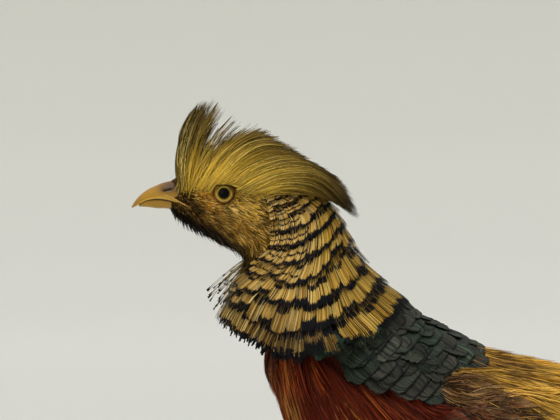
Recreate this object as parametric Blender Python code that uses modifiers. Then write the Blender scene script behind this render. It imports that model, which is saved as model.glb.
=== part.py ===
"""A mounted golden pheasant cock, standing on a plain wooden base.

The bird looks along -Y, its left side is +X, and +Z is up. The origin is the
centre of the base's underside. Lengths are in metres. Every part of the bird
is the solid of that part with its feathers on, out to the feather tips.
"""
import math

import bmesh
import bpy
from mathutils import Matrix, Vector

MM = 0.001
GAP = 0.3 * MM                      # open space left between neighbouring parts

# The base
BASE_LENGTH = 0.320
BASE_WIDTH = 0.180
BASE_HEIGHT = 0.026
BASE_EDGE = 0.005                   # radius of the base's rounded edges

# The bird's own sizes
TRUNK_FRONT = -0.1285               # the most forward point of the breast
TRUNK_END = 0.094                   # where the tail is rooted
RUMP_BREAK = -0.036                 # where the mantle ends and the rump begins
EYE_AT = Vector((0.0, -0.1449, 0.3050))
EYE_RADIUS = 4.8 * MM
EYE_OPENING = 3.7 * MM              # radius of the ring of lids
FACE_HALF_WIDTH = 14.6 * MM         # half the head's width at the eyes
TAIL_LENGTH = 0.690
TAIL_ROOT_Z = 0.2065
TAIL_SLOPE = (9.0, 12.0)            # degrees below level, at the root and at the tip
TAIL_VAULT = 42.0                   # degrees by which each half of the tail hangs
TAIL_WAIST = 0.060                  # how far from the root the tail stays narrow
HOCK_HEIGHT = 0.113                 # the ankle joint above the floor
FOOT_HEIGHT = 0.0355                # top of the foot's knuckle above the floor
TOE_RADIUS = 3.3 * MM
TOE_SIDES = 6

# Rows of the trunk: place along Y, top, bottom, half width
TRUNK_ROWS = [
    (TRUNK_FRONT, 0.2400, 0.2310, 0.004),
    (-0.1250, 0.2530, 0.2230, 0.015),
    (-0.1200, 0.2580, 0.2095, 0.023),
    (-0.1110, 0.2640, 0.1890, 0.0315),
    (-0.0980, 0.2680, 0.1680, 0.039),
    (-0.0680, 0.2575, 0.1425, 0.046),
    (-0.0380, 0.2410, 0.1310, 0.048),
    (-0.0040, 0.2334, 0.1270, 0.048),
    (0.0280, 0.2255, 0.1310, 0.0445),
    (0.0580, 0.2180, 0.1440, 0.038),
    (0.0800, 0.2125, 0.1600, 0.031),
    (TRUNK_END, 0.2085, 0.1730, 0.026),
]

# Rows of the head, in the same form
HEAD_ROWS = [
    (-0.1694, 0.3098, 0.2986, 0.0048),
    (-0.1640, 0.3130, 0.2934, 0.0080),
    (-0.1555, 0.3165, 0.2884, 0.0124),
    (-0.1470, 0.3180, 0.2843, 0.0147),
    (-0.1390, 0.3180, 0.2802, 0.0158),
    (-0.1300, 0.3165, 0.2750, 0.0165),
    (-0.1180, 0.3130, 0.2700, 0.0170),
]

# Rows of the crest, in the same form
CREST_ROWS = [
    (-0.1676, 0.3230, 0.3085, 0.0030),
    (-0.1650, 0.3300, 0.3080, 0.0070),
    (-0.1600, 0.3385, 0.3070, 0.0105),
    (-0.1530, 0.3428, 0.3065, 0.0135),
    (-0.1460, 0.3425, 0.3065, 0.0152),
    (-0.1350, 0.3355, 0.3060, 0.0165),
    (-0.1220, 0.3295, 0.3035, 0.0172),
    (-0.1100, 0.3215, 0.3030, 0.0160),
    (-0.1000, 0.3145, 0.3005, 0.0120),
    (-0.0930, 0.3060, 0.2970, 0.0070),
    (-0.0895, 0.2990, 0.2950, 0.0020),
]

# Hoops of the neck and cape: front (y, z), back (y, z), half width, sag at the side
NECK_HOOPS = [
    ((-0.1338, 0.2800), (-0.1240, 0.3125), 0.0160, 0.000),
    ((-0.1362, 0.2745), (-0.1065, 0.3080), 0.0185, 0.001),
    ((-0.1396, 0.2690), (-0.0955, 0.2940), 0.0240, 0.003),
    ((-0.1434, 0.2628), (-0.0897, 0.2818), 0.0305, 0.007),
    ((-0.1462, 0.2565), (-0.0800, 0.2700), 0.0370, 0.012),
    ((-0.1475, 0.2510), (-0.0680, 0.2597), 0.0430, 0.016),
]
NECK_SHARE = 0.34                   # share of the hoops' length that is plain neck
HOOP_SIDES = 20


def fresh_collection(name):
    """Make an empty collection in the scene."""
    group = bpy.data.collections.new(name)
    bpy.context.scene.collection.children.link(group)
    return group


def clear_scene():
    """Remove every object that the file opened with."""
    for thing in list(bpy.data.objects):
        bpy.data.objects.remove(thing, do_unlink=True)


def coat(name, colour, roughness, metallic=0.0):
    """Make one plain material."""
    material = bpy.data.materials.new(name)
    material.use_nodes = True
    shader = material.node_tree.nodes["Principled BSDF"]
    shader.inputs["Base Color"].default_value = (*colour, 1.0)
    shader.inputs["Roughness"].default_value = roughness
    shader.inputs["Metallic"].default_value = metallic
    return material


clear_scene()
BIRD = fresh_collection("golden_pheasant")
CUTTERS = fresh_collection("cutters")
COATS = {
    "crest": coat("crest_feathers", (0.42, 0.29, 0.06), 0.6),
    "face": coat("face_feathers", (0.26, 0.14, 0.03), 0.75),
    "cape": coat("cape_feathers", (0.45, 0.28, 0.08), 0.6),
    "mantle": coat("mantle_feathers", (0.03, 0.05, 0.035), 0.45),
    "gold": coat("back_feathers", (0.46, 0.27, 0.06), 0.6),
    "breast": coat("breast_feathers", (0.14, 0.03, 0.01), 0.7),
    "wing": coat("wing_feathers", (0.12, 0.06, 0.025), 0.6),
    "tail": coat("tail_feathers", (0.16, 0.09, 0.03), 0.55),
    "plume": coat("plume_feathers", (0.35, 0.06, 0.015), 0.6),
    "bill": coat("bill_horn", (0.42, 0.24, 0.06), 0.4),
    "eye": coat("glass_eye", (0.06, 0.05, 0.015), 0.1),
    "leg": coat("leg_scales", (0.36, 0.25, 0.10), 0.5),
    "wood": coat("base_wood", (0.16, 0.07, 0.03), 0.4),
}


def show(name, mesh, surface, group=BIRD):
    """Put a mesh in the scene as a named object with smooth, crisp-edged shading."""
    thing = bpy.data.objects.new(name, mesh)
    group.objects.link(thing)
    mesh.materials.clear()
    mesh.materials.append(COATS[surface])
    mesh.shade_smooth()
    mesh.set_sharp_from_angle(angle=math.radians(40))
    return thing


def loft(name, rings, surface, group=BIRD):
    """Skin a row of closed rings, with a flat or fanned cap at each end."""
    body = bmesh.new()
    rows = [[body.verts.new(point) for point in ring] for ring in rings]
    count = len(rows[0])
    for near, far in zip(rows, rows[1:]):
        for i in range(count):
            j = (i + 1) % count
            body.faces.new((near[i], near[j], far[j], far[i]))
    for row in (rows[0], rows[-1]):
        hub = body.verts.new(sum((vert.co for vert in row), Vector()) / count)
        for i in range(count):
            body.faces.new((row[i], row[(i + 1) % count], hub))
    bmesh.ops.recalc_face_normals(body, faces=body.faces)
    mesh = bpy.data.meshes.new(name)
    body.to_mesh(mesh)
    body.free()
    return show(name, mesh, surface, group)


def between(rows, steps):
    """Run a smooth curve through rows of numbers, with some steps in each stretch."""
    out = []
    last = len(rows) - 1
    for k in range(last):
        before = rows[max(k - 1, 0)]
        after = rows[min(k + 2, last)]
        for n in range(steps):
            t = n / steps
            out.append(tuple(
                0.5 * (2 * b + (c - a) * t + (2 * a - 5 * b + 4 * c - d) * t * t
                       + (3 * b - a - 3 * c + d) * t ** 3)
                for a, b, c, d in zip(before, rows[k], rows[k + 1], after)))
    out.append(tuple(rows[last]))
    return out


def upright_ring(row, count, widest, crown=1.0):
    """An egg-shaped ring in an upright plane; crown under 1 makes its top narrower."""
    y, top, bottom, half_width = row
    waist = bottom + (top - bottom) * widest
    ring = []
    for k in range(count):
        turn = 2 * math.pi * (k + 0.5) / count
        side = math.sin(turn)
        rise = math.cos(turn)
        reach = (top - waist) if rise > 0 else (waist - bottom)
        pinch = 1.0 - (1.0 - crown) * max(rise, 0.0)
        ring.append(Vector((half_width * side * pinch, y, waist + reach * rise)))
    return ring


def grown(thing, amount=GAP):
    """A slightly fatter copy of a part, for making room for it in another."""
    mesh = thing.data.copy()
    normals = [vert.normal.copy() for vert in mesh.vertices]
    for vert, normal in zip(mesh.vertices, normals):
        vert.co += normal * amount
    copy = bpy.data.objects.new(thing.name + "_room", mesh)
    CUTTERS.objects.link(copy)
    copy.hide_render = True
    copy.display_type = "WIRE"
    return copy


def combine(thing, other, how):
    """Cut or join two closed parts and keep the result as the first one's mesh."""
    step = thing.modifiers.new(how.lower(), "BOOLEAN")
    step.operation = how
    step.object = other
    step.solver = "EXACT"
    bpy.context.view_layer.update()
    seen = thing.evaluated_get(bpy.context.evaluated_depsgraph_get())
    mesh = bpy.data.meshes.new_from_object(seen)
    thing.modifiers.clear()
    body = bmesh.new()
    body.from_mesh(mesh)
    bmesh.ops.remove_doubles(body, verts=body.verts, dist=0.02 * MM)
    bmesh.ops.dissolve_degenerate(body, edges=body.edges, dist=0.01 * MM)
    bmesh.ops.triangulate(body, faces=body.faces)
    keep_biggest(body)
    body.to_mesh(mesh)
    body.free()
    thing.data = mesh
    mesh.shade_smooth()
    mesh.set_sharp_from_angle(angle=math.radians(40))
    return thing


def keep_biggest(body):
    """Drop every shell of a mesh but its largest, so a cut leaves one piece."""
    todo = set(body.verts)
    shells = []
    while todo:
        front = [todo.pop()]
        shell = set(front)
        while front:
            vert = front.pop()
            for edge in vert.link_edges:
                other = edge.other_vert(vert)
                if other in todo:
                    todo.discard(other)
                    shell.add(other)
                    front.append(other)
        shells.append(shell)
    shells.sort(key=len)
    for shell in shells[:-1]:
        bmesh.ops.delete(body, geom=list(shell), context="VERTS")


def make_room(thing, *others, space=GAP):
    """Cut neighbouring parts out of a part, leaving a gap round them."""
    for other in others:
        cutter = grown(other, space)
        combine(thing, cutter, "DIFFERENCE")
    return thing


def half(thing, name, point, normal, surface):
    """A copy of what lies on the normal's side of a plane, half a gap away from it."""
    body = bmesh.new()
    body.from_mesh(thing.data)
    normal = Vector(normal).normalized()
    cut = bmesh.ops.bisect_plane(
        body, geom=body.verts[:] + body.edges[:] + body.faces[:],
        plane_co=Vector(point) + normal * GAP / 2, plane_no=normal, clear_inner=True)
    rim = [item for item in cut["geom_cut"] if isinstance(item, bmesh.types.BMEdge)]
    bmesh.ops.contextual_create(body, geom=rim)
    bmesh.ops.triangulate(body, faces=body.faces)
    bmesh.ops.recalc_face_normals(body, faces=body.faces)
    keep_biggest(body)
    mesh = bpy.data.meshes.new(name)
    body.to_mesh(mesh)
    body.free()
    return show(name, mesh, surface)


def discard(thing):
    """Remove an object that was only a step on the way."""
    bpy.data.objects.remove(thing, do_unlink=True)


# ---------------------------------------------------------------- the base

def make_base():
    """A plain block of wood with rounded edges."""
    bpy.ops.mesh.primitive_cube_add(size=1.0)
    block = bpy.context.active_object
    for group in list(block.users_collection):
        group.objects.unlink(block)
    mesh = block.data
    mesh.transform(Matrix.Diagonal((BASE_WIDTH, BASE_LENGTH, BASE_HEIGHT, 1.0)))
    mesh.transform(Matrix.Translation((0.0, 0.0, BASE_HEIGHT / 2)))
    discard(block)
    base = show("stand_base", mesh, "wood")
    edge = base.modifiers.new("rounded_edges", "BEVEL")
    edge.width = BASE_EDGE
    edge.segments = 2
    return base


# ------------------------------------------------------- neck, cape and head

def hoop_points(hoop, count):
    """One closed hoop round the neck, hanging lower at the sides."""
    front_y, front_z, back_y, back_z, half_width, sag = hoop
    ring = []
    for k in range(count):
        turn = 2 * math.pi * k / count
        share = (1 - math.cos(turn)) / 2
        side = math.sin(turn)
        ring.append(Vector((
            half_width * side,
            front_y + (back_y - front_y) * share,
            front_z + (back_z - front_z) * share - sag * side * side)))
    return ring


def moved(ring, offset):
    """A ring shifted by an offset."""
    return [point + offset for point in ring]


def make_neck_and_cape():
    """The bent, flaring fan of the cape, parted from the plain neck above it."""
    rows = between([(*front, *back, wide, sag) for front, back, wide, sag in NECK_HOOPS], 2)
    hoops = [hoop_points(row, HOOP_SIDES) for row in rows]
    split = round(NECK_SHARE * (len(hoops) - 1))
    centre = [sum(ring, Vector()) / len(ring) for ring in hoops]
    into = (centre[1] - centre[0]).normalized() * GAP / 2
    along = (centre[split + 1] - centre[split - 1]).normalized() * GAP / 2
    collar = [moved(hoops[0], into)] + hoops[1:split] + [moved(hoops[split], -along)]
    neck = loft("neck", collar, "cape")
    cape = loft("cape", [moved(hoops[split], along)] + hoops[split + 1:], "cape")
    return neck, cape, hoops[0]


def make_head(neck_hoop):
    """The feathered head up to where the neck begins."""
    rows = between(HEAD_ROWS, 2)
    whole = loft("head_whole", [upright_ring(row, 16, 0.56) for row in rows], "face")
    chin = neck_hoop[0]
    nape = neck_hoop[len(neck_hoop) // 2]
    facing = Vector((0.0, chin.z - nape.z, nape.y - chin.y))
    head = half(whole, "head", chin, facing, "face")
    discard(whole)
    return head


def make_eye(name, side):
    """One glass eye, sunk so far that only the cap inside the lids shows."""
    depth = math.sqrt(EYE_RADIUS ** 2 - EYE_OPENING ** 2)
    bpy.ops.mesh.primitive_uv_sphere_add(segments=12, ring_count=8, radius=EYE_RADIUS)
    ball = bpy.context.active_object
    for group in list(ball.users_collection):
        group.objects.unlink(ball)
    mesh = ball.data
    mesh.transform(Matrix.Rotation(math.pi / 2, 4, "Y"))
    place = EYE_AT + Vector((side * (FACE_HALF_WIDTH - depth), 0.0, 0.0))
    mesh.transform(Matrix.Translation(place))
    discard(ball)
    return show(name, mesh, "eye")


def make_crest():
    """The tall, swept-back crest of fine silky feathers."""
    return loft("crest", [upright_ring(row, 14, 0.34, 0.62) for row in CREST_ROWS], "crest")


def bill_ring(y, top, bottom, half_width, count=10, ridge=0.45):
    """A section of the bill: a ridge above, straight cutting edges below."""
    ring = []
    for k in range(count):
        turn = 2 * math.pi * (k + 0.5) / count
        rise = math.cos(turn)
        pinch = 1.0 - (1.0 - ridge) * max(rise, 0.0) ** 2
        height = (top + bottom) / 2 + (top - bottom) / 2 * rise
        ring.append(Vector((half_width * math.sin(turn) * pinch, y, height)))
    return ring


def make_bill():
    """The arched, hooked upper half and the slimmer lower half."""
    upper = [
        (-0.1570, 0.3085, 0.2988, 0.0040),
        (-0.1615, 0.3105, 0.2998, 0.0072),
        (-0.1680, 0.3101, 0.3017, 0.0061),
        (-0.1740, 0.3083, 0.3025, 0.0048),
        (-0.1777, 0.3067, 0.3017, 0.0037),
        (-0.1808, 0.3043, 0.3006, 0.0025),
        (-0.1829, 0.3015, 0.2998, 0.0013),
        (-0.1842, 0.2996, 0.2991, 0.0004),
    ]
    lower = [
        (-0.1600, 0.2988, 0.2960, 0.0060),
        (-0.1680, 0.3008, 0.2986, 0.0052),
        (-0.1740, 0.3017, 0.2989, 0.0040),
        (-0.1777, 0.3009, 0.2995, 0.0026),
        (-0.1801, 0.3000, 0.2996, 0.0006),
    ]
    top_half = loft("bill_upper", [bill_ring(*row) for row in upper], "bill")
    low_half = loft("bill_lower", [bill_ring(*row, ridge=1.0) for row in lower], "bill")
    return top_half, low_half


# ------------------------------------------------------------------- trunk

def make_trunk():
    """The whole feathered trunk, parted afterwards into its regions."""
    return loft("trunk_whole", [upright_ring(row, 20, 0.50) for row in TRUNK_ROWS], "breast")


def part_trunk(whole):
    """Divide the trunk into mantle and breast in front, rump and belly behind."""
    break_point = (0.0, RUMP_BREAK, 0.2)
    front = half(whole, "front", break_point, (0, -1, 0), "breast")
    rear = half(whole, "rear", break_point, (0, 1, 0), "breast")
    mantle_edge = (0.0, -0.0745, 0.2315)
    rump_edge = (0.0, 0.0, 0.2175)
    mantle_lean = (0.0, 0.45, 1.0)
    rump_lean = (0.0, 0.22, 1.0)
    parts = [
        half(front, "mantle", mantle_edge, mantle_lean, "mantle"),
        half(front, "breast", mantle_edge, [-n for n in mantle_lean], "breast"),
        half(rear, "back_and_rump", rump_edge, rump_lean, "gold"),
        half(rear, "belly", rump_edge, [-n for n in rump_lean], "breast"),
    ]
    for thing in (front, rear, whole):
        discard(thing)
    return parts


# ------------------------------------------------------------------- wings

def lens_ring(y, centre_x, centre_z, half_height, half_thick, lean, count=10):
    """A thin upright lens; lean is how far its top leans in over the back."""
    ring = []
    for k in range(count):
        turn = 2 * math.pi * k / count
        up = half_height * math.cos(turn)
        out = half_thick * math.sin(turn)
        ring.append(Vector((centre_x + out * math.cos(lean) - up * math.sin(lean),
                            y, centre_z + up * math.cos(lean) + out * math.sin(lean))))
    return ring


def mirrored(ring, side):
    """The same ring on the bird's other side."""
    return [Vector((point.x * side, point.y, point.z)) for point in ring]


def make_scapulars(name, side):
    """The shoulder feathers that cover the top of the folded wing."""
    rows = [
        (-0.058, 0.0330, 0.2310, 0.003, 0.0015, 0.85),
        (-0.048, 0.0385, 0.2270, 0.011, 0.0050, 0.80),
        (-0.025, 0.0410, 0.2215, 0.015, 0.0065, 0.72),
        (0.005, 0.0405, 0.2135, 0.014, 0.0060, 0.66),
        (0.035, 0.0370, 0.2060, 0.011, 0.0050, 0.62),
        (0.062, 0.0335, 0.1995, 0.005, 0.0030, 0.60),
    ]
    return loft(name, [mirrored(lens_ring(*row), side) for row in rows], "wing")


def make_wing(name, side):
    """The folded wing along the flank, from the bend to the feather tips."""
    rows = [
        (-0.068, 0.0420, 0.2030, 0.004, 0.0030, 0.12),
        (-0.060, 0.0455, 0.2030, 0.015, 0.0070, 0.10),
        (-0.035, 0.0490, 0.2010, 0.026, 0.0085, 0.08),
        (0.000, 0.0490, 0.1975, 0.030, 0.0085, 0.08),
        (0.035, 0.0455, 0.1930, 0.027, 0.0080, 0.10),
        (0.065, 0.0405, 0.1880, 0.021, 0.0060, 0.12),
        (0.095, 0.0360, 0.1835, 0.014, 0.0030, 0.12),
        (0.120, 0.0345, 0.1805, 0.007, 0.0016, 0.10),
        (0.132, 0.0340, 0.1795, 0.002, 0.0008, 0.10),
    ]
    return loft(name, [mirrored(lens_ring(*row), side) for row in rows], "wing")


# -------------------------------------------------------------------- tail

def tail_spine(s):
    """The ridge of the tail at distance s from its root, and the way it runs there."""
    first, last = (math.radians(angle) for angle in TAIL_SLOPE)
    rate = (last - first) / TAIL_LENGTH
    mean = first + rate * s / 2
    here = first + rate * s
    place = Vector((0.0, TRUNK_END + GAP + s * math.cos(mean), TAIL_ROOT_Z - s * math.sin(mean)))
    return place, Vector((0.0, math.cos(here), -math.sin(here)))


def tail_point(s, across, level):
    """A place in the vaulted tail: along it, across it, and above its mid surface."""
    place, along = tail_spine(s)
    side = math.copysign(1.0, across) if across else 0.0
    vault = math.radians(TAIL_VAULT)
    up = along.cross(Vector((1.0, 0.0, 0.0))) * -1.0
    reach = abs(across)
    fall = math.sin(vault) * reach * reach / (reach + 6 * MM)
    point = place + Vector((side * reach * math.cos(vault), 0.0, 0.0)) + up * (level - fall)
    point.y = max(point.y, TRUNK_END + GAP)
    return point


def blade(name, stations, surface):
    """A long feather blade; a station is s, inner edge, outer edge, bottom, top."""
    rings = []
    for s, inner, outer, bottom, top in stations:
        ring = []
        steps = 4
        for k in range(steps):
            share = k / (steps - 1)
            ring.append(tail_point(s, inner + (outer - inner) * share, top))
        for k in range(steps):
            share = 1 - k / (steps - 1)
            ring.append(tail_point(s, inner + (outer - inner) * share, bottom))
        rings.append(ring)
    return loft(name, rings, surface)


def tail_blades():
    """The long middle pair over two shorter pairs, each side its own part."""
    made = []
    plans = [
        ("central", TAIL_LENGTH, 0.0360, 0.0070, 0.0, 2.4 * MM),
        ("middle", 0.500, 0.0390, 0.0090, -2.6 * MM, -0.3 * MM),
        ("outer", 0.330, 0.0420, 0.0120, -5.0 * MM, -2.9 * MM),
    ]
    for label, length, wide, tip, bottom, top in plans:
        for word, side in (("left", 1), ("right", -1)):
            stations = []
            count = 12
            for k in range(count):
                share = k / (count - 1)
                taper = 1.0 - share ** 2.2
                waist = 1.0 - 0.30 * math.exp(-length * share / TAIL_WAIST)
                width = (tip + (wide - tip) * taper) * waist
                if k == count - 1:
                    width = tip * 0.45
                thin = (top - bottom) * (1.0 - 0.45 * share)
                stations.append((length * share, side * GAP / 2, side * width,
                                 top - thin, top))
            made.append(blade(f"tail_{label}_{word}", stations, "tail"))
    return made


def tail_cover(name, length, wide, near, far, above, surface):
    """Short feathers over or under the tail's root, in one piece across the middle."""
    stations = []
    count = 7
    for k in range(count):
        share = k / (count - 1)
        depth = near + (far - near) * share
        width = wide * (1.0 - 0.55 * share ** 2)
        low, high = (above, above + depth) if above > 0 else (above - depth, above)
        stations.append((length * share, -width, width, low, high))
    rings = []
    for s, left, right, low, high in stations:
        steps = 7
        over = [tail_point(s, left + (right - left) * k / (steps - 1), high)
                for k in range(steps)]
        under = [tail_point(s, right + (left - right) * k / (steps - 1), low)
                 for k in range(steps)]
        rings.append(over + under)
    return loft(name, rings, surface)


def make_plume(name, side, order):
    """A narrow side plume of the rump, hanging off the tail's edge."""
    length = (0.190, 0.150)[order]
    droop = math.radians((15.0, 24.0)[order])
    spread = math.radians((8.0, 10.0)[order])
    lean = math.radians(32.0)
    root = Vector((side * (0.0290 + 0.0030 * order), 0.098 + 0.010 * order,
                   0.1890 - 0.012 * order))
    along = Vector((side * math.sin(spread), math.cos(droop), -math.sin(droop)))
    flat = Vector((side * math.cos(lean), 0.0, math.sin(lean)))
    up = flat.cross(along).normalized() * side
    thick = 0.5 * MM
    count = 10
    rings = []
    for k in range(count):
        share = k / (count - 1)
        height = 7.5 * MM * math.sin(math.pi * (0.12 + 0.86 * share)) ** 0.7
        middle = root + along * length * share - up * 10 * MM * share ** 2
        sideways = flat * thick
        rings.append([middle + up * height, middle + sideways * 1.6,
                      middle - up * height, middle - sideways * 0.8])
    return loft(name, rings, "plume")


# -------------------------------------------------------------------- legs

def tube_ring(centre, along, radius, count=10, flat=1.0):
    """A ring across a direction; flat under 1 squeezes it from the sides."""
    along = along.normalized()
    across = Vector((1.0, 0.0, 0.0))
    up = along.cross(across).normalized()
    return [centre + across * radius * flat * math.cos(2 * math.pi * k / count)
            + up * radius * math.sin(2 * math.pi * k / count) for k in range(count)]


def make_thigh(name, side, foot_y):
    """The feathered upper leg, tapering down to the hock."""
    hock = Vector((side * 0.028, foot_y + 0.024, HOCK_HEIGHT + 0.5 * MM))
    top = Vector((side * 0.024, -0.006 + foot_y * 0.4, 0.164))
    run = hock - top
    rings = []
    for share, radius in ((0.0, 21), (0.25, 21), (0.5, 19), (0.7, 15), (0.87, 9.5), (1.0, 6.0)):
        rings.append(tube_ring(top + run * share, run, radius * MM, 14, 0.82))
    return loft(name, rings, "breast")


def make_tarsus(name, side, foot_y):
    """The bare scaled shank, thicker at both joints, with its spur."""
    hock = Vector((side * 0.028, foot_y + 0.024, HOCK_HEIGHT))
    foot = Vector((side * 0.030, foot_y, FOOT_HEIGHT - GAP))
    run = foot - hock
    rings = []
    for share, radius in ((0.0, 4.9), (0.06, 5.2), (0.16, 4.0), (0.4, 3.4), (0.75, 3.3),
                          (0.92, 3.9), (1.0, 4.2)):
        rings.append(tube_ring(hock + run * share, run, radius * MM, 12, 0.86))
    shank = loft(name, rings, "leg")
    root = hock + run * 0.62
    back = Vector((-side * 0.35, 1.0, 0.15)).normalized()
    spikes = [tube_ring(root + back * reach * MM, back + Vector((0, 0, 0.04 * reach)),
                        radius * MM, 8) for reach, radius in
              ((1.0, 2.1), (4.0, 1.9), (7.0, 1.3), (10.0, 0.4))]
    spur = loft(name + "_spur", spikes, "leg", CUTTERS)
    combine(shank, spur, "UNION")
    discard(spur)
    return shank


def toe(name, knuckle, heading, length):
    """One toe with its claw, lying on the base and arched at the joints."""
    aim = Vector((math.sin(heading), -math.cos(heading), 0.0))
    floor = BASE_HEIGHT + GAP
    across = Vector((math.cos(heading), math.sin(heading), 0.0))
    rings = []
    plan = ((0.0, 1.0, 1.3), (0.3, 0.92, 1.0), (0.52, 0.86, 1.12), (0.78, 0.74, 1.0),
            (0.9, 0.5, 1.35), (1.02, 0.36, 1.2), (1.12, 0.12, 1.3))
    for share, girth, lift in plan:
        radius = TOE_RADIUS * girth
        centre = Vector((knuckle.x, knuckle.y, floor)) + aim * length * share
        centre.z += max(radius * lift, 0.45 * MM)
        rings.append([centre + across * radius * math.cos(2 * math.pi * k / TOE_SIDES)
                      + Vector((0, 0, radius * math.sin(2 * math.pi * k / TOE_SIDES)))
                      for k in range(TOE_SIDES)])
    return loft(name, rings, "leg", CUTTERS)


def make_foot(name, side, foot_y):
    """Three toes forward and one behind, joined at the knuckle."""
    knuckle = Vector((side * 0.030, foot_y, BASE_HEIGHT + GAP + TOE_RADIUS))
    core = [tube_ring(Vector((knuckle.x, knuckle.y, height)), Vector((0, 0, -1)), radius * MM, 12)
            for height, radius in ((FOOT_HEIGHT, 4.3), (BASE_HEIGHT + 6 * MM, 5.0),
                                   (BASE_HEIGHT + 3 * MM, 5.2), (BASE_HEIGHT + 1 * MM, 4.4))]
    foot = loft(name, core, "leg")
    spread = ((0.05, 44), (-0.62, 34), (0.66, 37))
    for order, (turn, length) in enumerate(spread):
        piece = toe(f"{name}_toe_{order}", knuckle, side * turn, length * MM)
        combine(foot, piece, "UNION")
        discard(piece)
    hind = toe(name + "_hind", knuckle, math.pi - side * 0.25, 17 * MM)
    combine(foot, hind, "UNION")
    discard(hind)
    return foot


# ---------------------------------------------------------------- assembly

make_base()
neck, cape, first_hoop = make_neck_and_cape()
head = make_head(first_hoop)
make_room(neck, head)
bills = make_bill()
eyes = [make_eye("eye_left", 1), make_eye("eye_right", -1)]
make_room(head, *bills, space=2 * GAP)
make_room(head, *eyes)
crest = make_crest()
make_room(crest, head, neck, cape)
make_room(crest, *bills, space=2 * GAP)

trunk = make_trunk()
make_room(trunk, cape)
flesh = part_trunk(trunk)
for word, side, foot_y in (("left", 1, -0.008), ("right", -1, 0.012)):
    shoulder = make_scapulars(f"scapulars_{word}", side)
    make_room(shoulder, *flesh)
    wing = make_wing(f"wing_{word}", side)
    make_room(wing, *flesh, shoulder)
    thigh = make_thigh(f"thigh_{word}", side, foot_y)
    make_room(thigh, *flesh, wing)
    foot = make_foot(f"foot_{word}", side, foot_y)
    shank = make_tarsus(f"tarsus_{word}", side, foot_y)
    make_room(shank, thigh, foot)
    for order in range(2):
        plume = make_plume(f"plume_{word}_{order + 1}", side, order)
        make_room(plume, wing)
tail_blades()
tail_cover("tail_coverts_upper", 0.105, 0.0260, 2.2 * MM, 0.9 * MM, 3.0 * MM, "gold")
tail_cover("tail_coverts_under", 0.115, 0.0235, 15 * MM, 1.5 * MM, -6.2 * MM, "breast")
for spare in list(CUTTERS.objects):
    discard(spare)
bpy.data.collections.remove(CUTTERS)
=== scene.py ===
# %% [markdown]
# # A mounted golden pheasant cock
# A museum mount: a whole bird, head held forward, on a plain wooden base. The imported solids
# give the outline out to the feather tips. Here they guide one continuous skin, and every
# feather is then a thin piece of mesh that grows from that skin and lies along it.

# %% Load the frame
import math

import bmesh
import bpy
import numpy as np
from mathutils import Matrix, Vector
from mathutils.bvhtree import BVHTree


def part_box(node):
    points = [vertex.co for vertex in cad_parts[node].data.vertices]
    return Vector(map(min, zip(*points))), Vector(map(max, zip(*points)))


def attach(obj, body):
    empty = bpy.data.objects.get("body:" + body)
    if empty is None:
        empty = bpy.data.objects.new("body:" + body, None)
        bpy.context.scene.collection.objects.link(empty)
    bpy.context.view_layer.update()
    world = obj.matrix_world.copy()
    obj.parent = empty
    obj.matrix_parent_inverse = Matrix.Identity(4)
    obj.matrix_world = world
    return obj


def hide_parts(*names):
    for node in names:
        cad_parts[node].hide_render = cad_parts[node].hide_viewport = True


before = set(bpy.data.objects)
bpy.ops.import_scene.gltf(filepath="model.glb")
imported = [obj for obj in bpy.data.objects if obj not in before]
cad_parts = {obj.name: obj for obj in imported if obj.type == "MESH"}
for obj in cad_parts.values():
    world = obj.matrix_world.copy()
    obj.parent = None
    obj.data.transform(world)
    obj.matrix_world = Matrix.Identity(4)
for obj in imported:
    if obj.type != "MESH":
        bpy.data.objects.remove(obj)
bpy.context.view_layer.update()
MM = 0.001

# %% [markdown]
# ## The coat's outer form
# The feathered regions were parted by thin cuts so that each has a name. A coat has no such
# cuts, so the regions are swollen by a hair's breadth, joined by a voxel remesh and smoothed.
# The result is the outer form of the plumage: feather tips lie on it, and the skin lies
# below it by the depth of the coat.

# %% Join the solids into one form
FLESH = ["head", "neck", "cape", "mantle", "breast", "belly", "back_and_rump",
         "thigh_left", "thigh_right"]
SWELL = 0.35 * MM                   # makes neighbouring solids overlap


def node_mesh(names):
    """Copy some solids into one mesh, each a little swollen so that neighbours overlap."""
    joined = bmesh.new()
    for name in names:
        part = bmesh.new()
        part.from_mesh(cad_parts[name].data)
        bmesh.ops.remove_doubles(part, verts=part.verts, dist=0.01 * MM)
        bmesh.ops.recalc_face_normals(part, faces=part.faces)
        part.normal_update()
        for vert in part.verts:
            vert.co += vert.normal * SWELL
        mesh = bpy.data.meshes.new("step")
        part.to_mesh(mesh)
        part.free()
        joined.from_mesh(mesh)
        bpy.data.meshes.remove(mesh)
    mesh = bpy.data.meshes.new("joined")
    joined.to_mesh(mesh)
    joined.free()
    return mesh


def joined_form(names, voxel, rounds):
    """Join solids by a voxel remesh, smooth the result and return it as a mesh."""
    carrier = bpy.data.objects.new("carrier", node_mesh(names))
    bpy.context.scene.collection.objects.link(carrier)
    remesh = carrier.modifiers.new("remesh", "REMESH")
    remesh.mode = "VOXEL"
    remesh.voxel_size = voxel
    smooth = carrier.modifiers.new("smooth", "SMOOTH")
    smooth.factor = 0.5
    smooth.iterations = rounds
    bpy.context.view_layer.update()
    seen = carrier.evaluated_get(bpy.context.evaluated_depsgraph_get())
    done = bpy.data.meshes.new_from_object(seen)
    bpy.data.objects.remove(carrier)
    return done


TAIL_NODES = [f"tail_{row}_{side}" for row in ("central", "middle", "outer")
              for side in ("left", "right")]
COVERTS = ["tail_coverts_upper", "tail_coverts_under"]
form_mesh = joined_form(FLESH + TAIL_NODES + COVERTS, 2.0 * MM, 8)
print("outer form", len(form_mesh.vertices), "points")

# %% [markdown]
# ## Feeling the surface
# Feathers need the nearest place on the form and the way it faces there. A tree over the
# faces answers that quickly, and mixing the face's corner normals keeps the answer smooth.

# %% The surface helper


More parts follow.
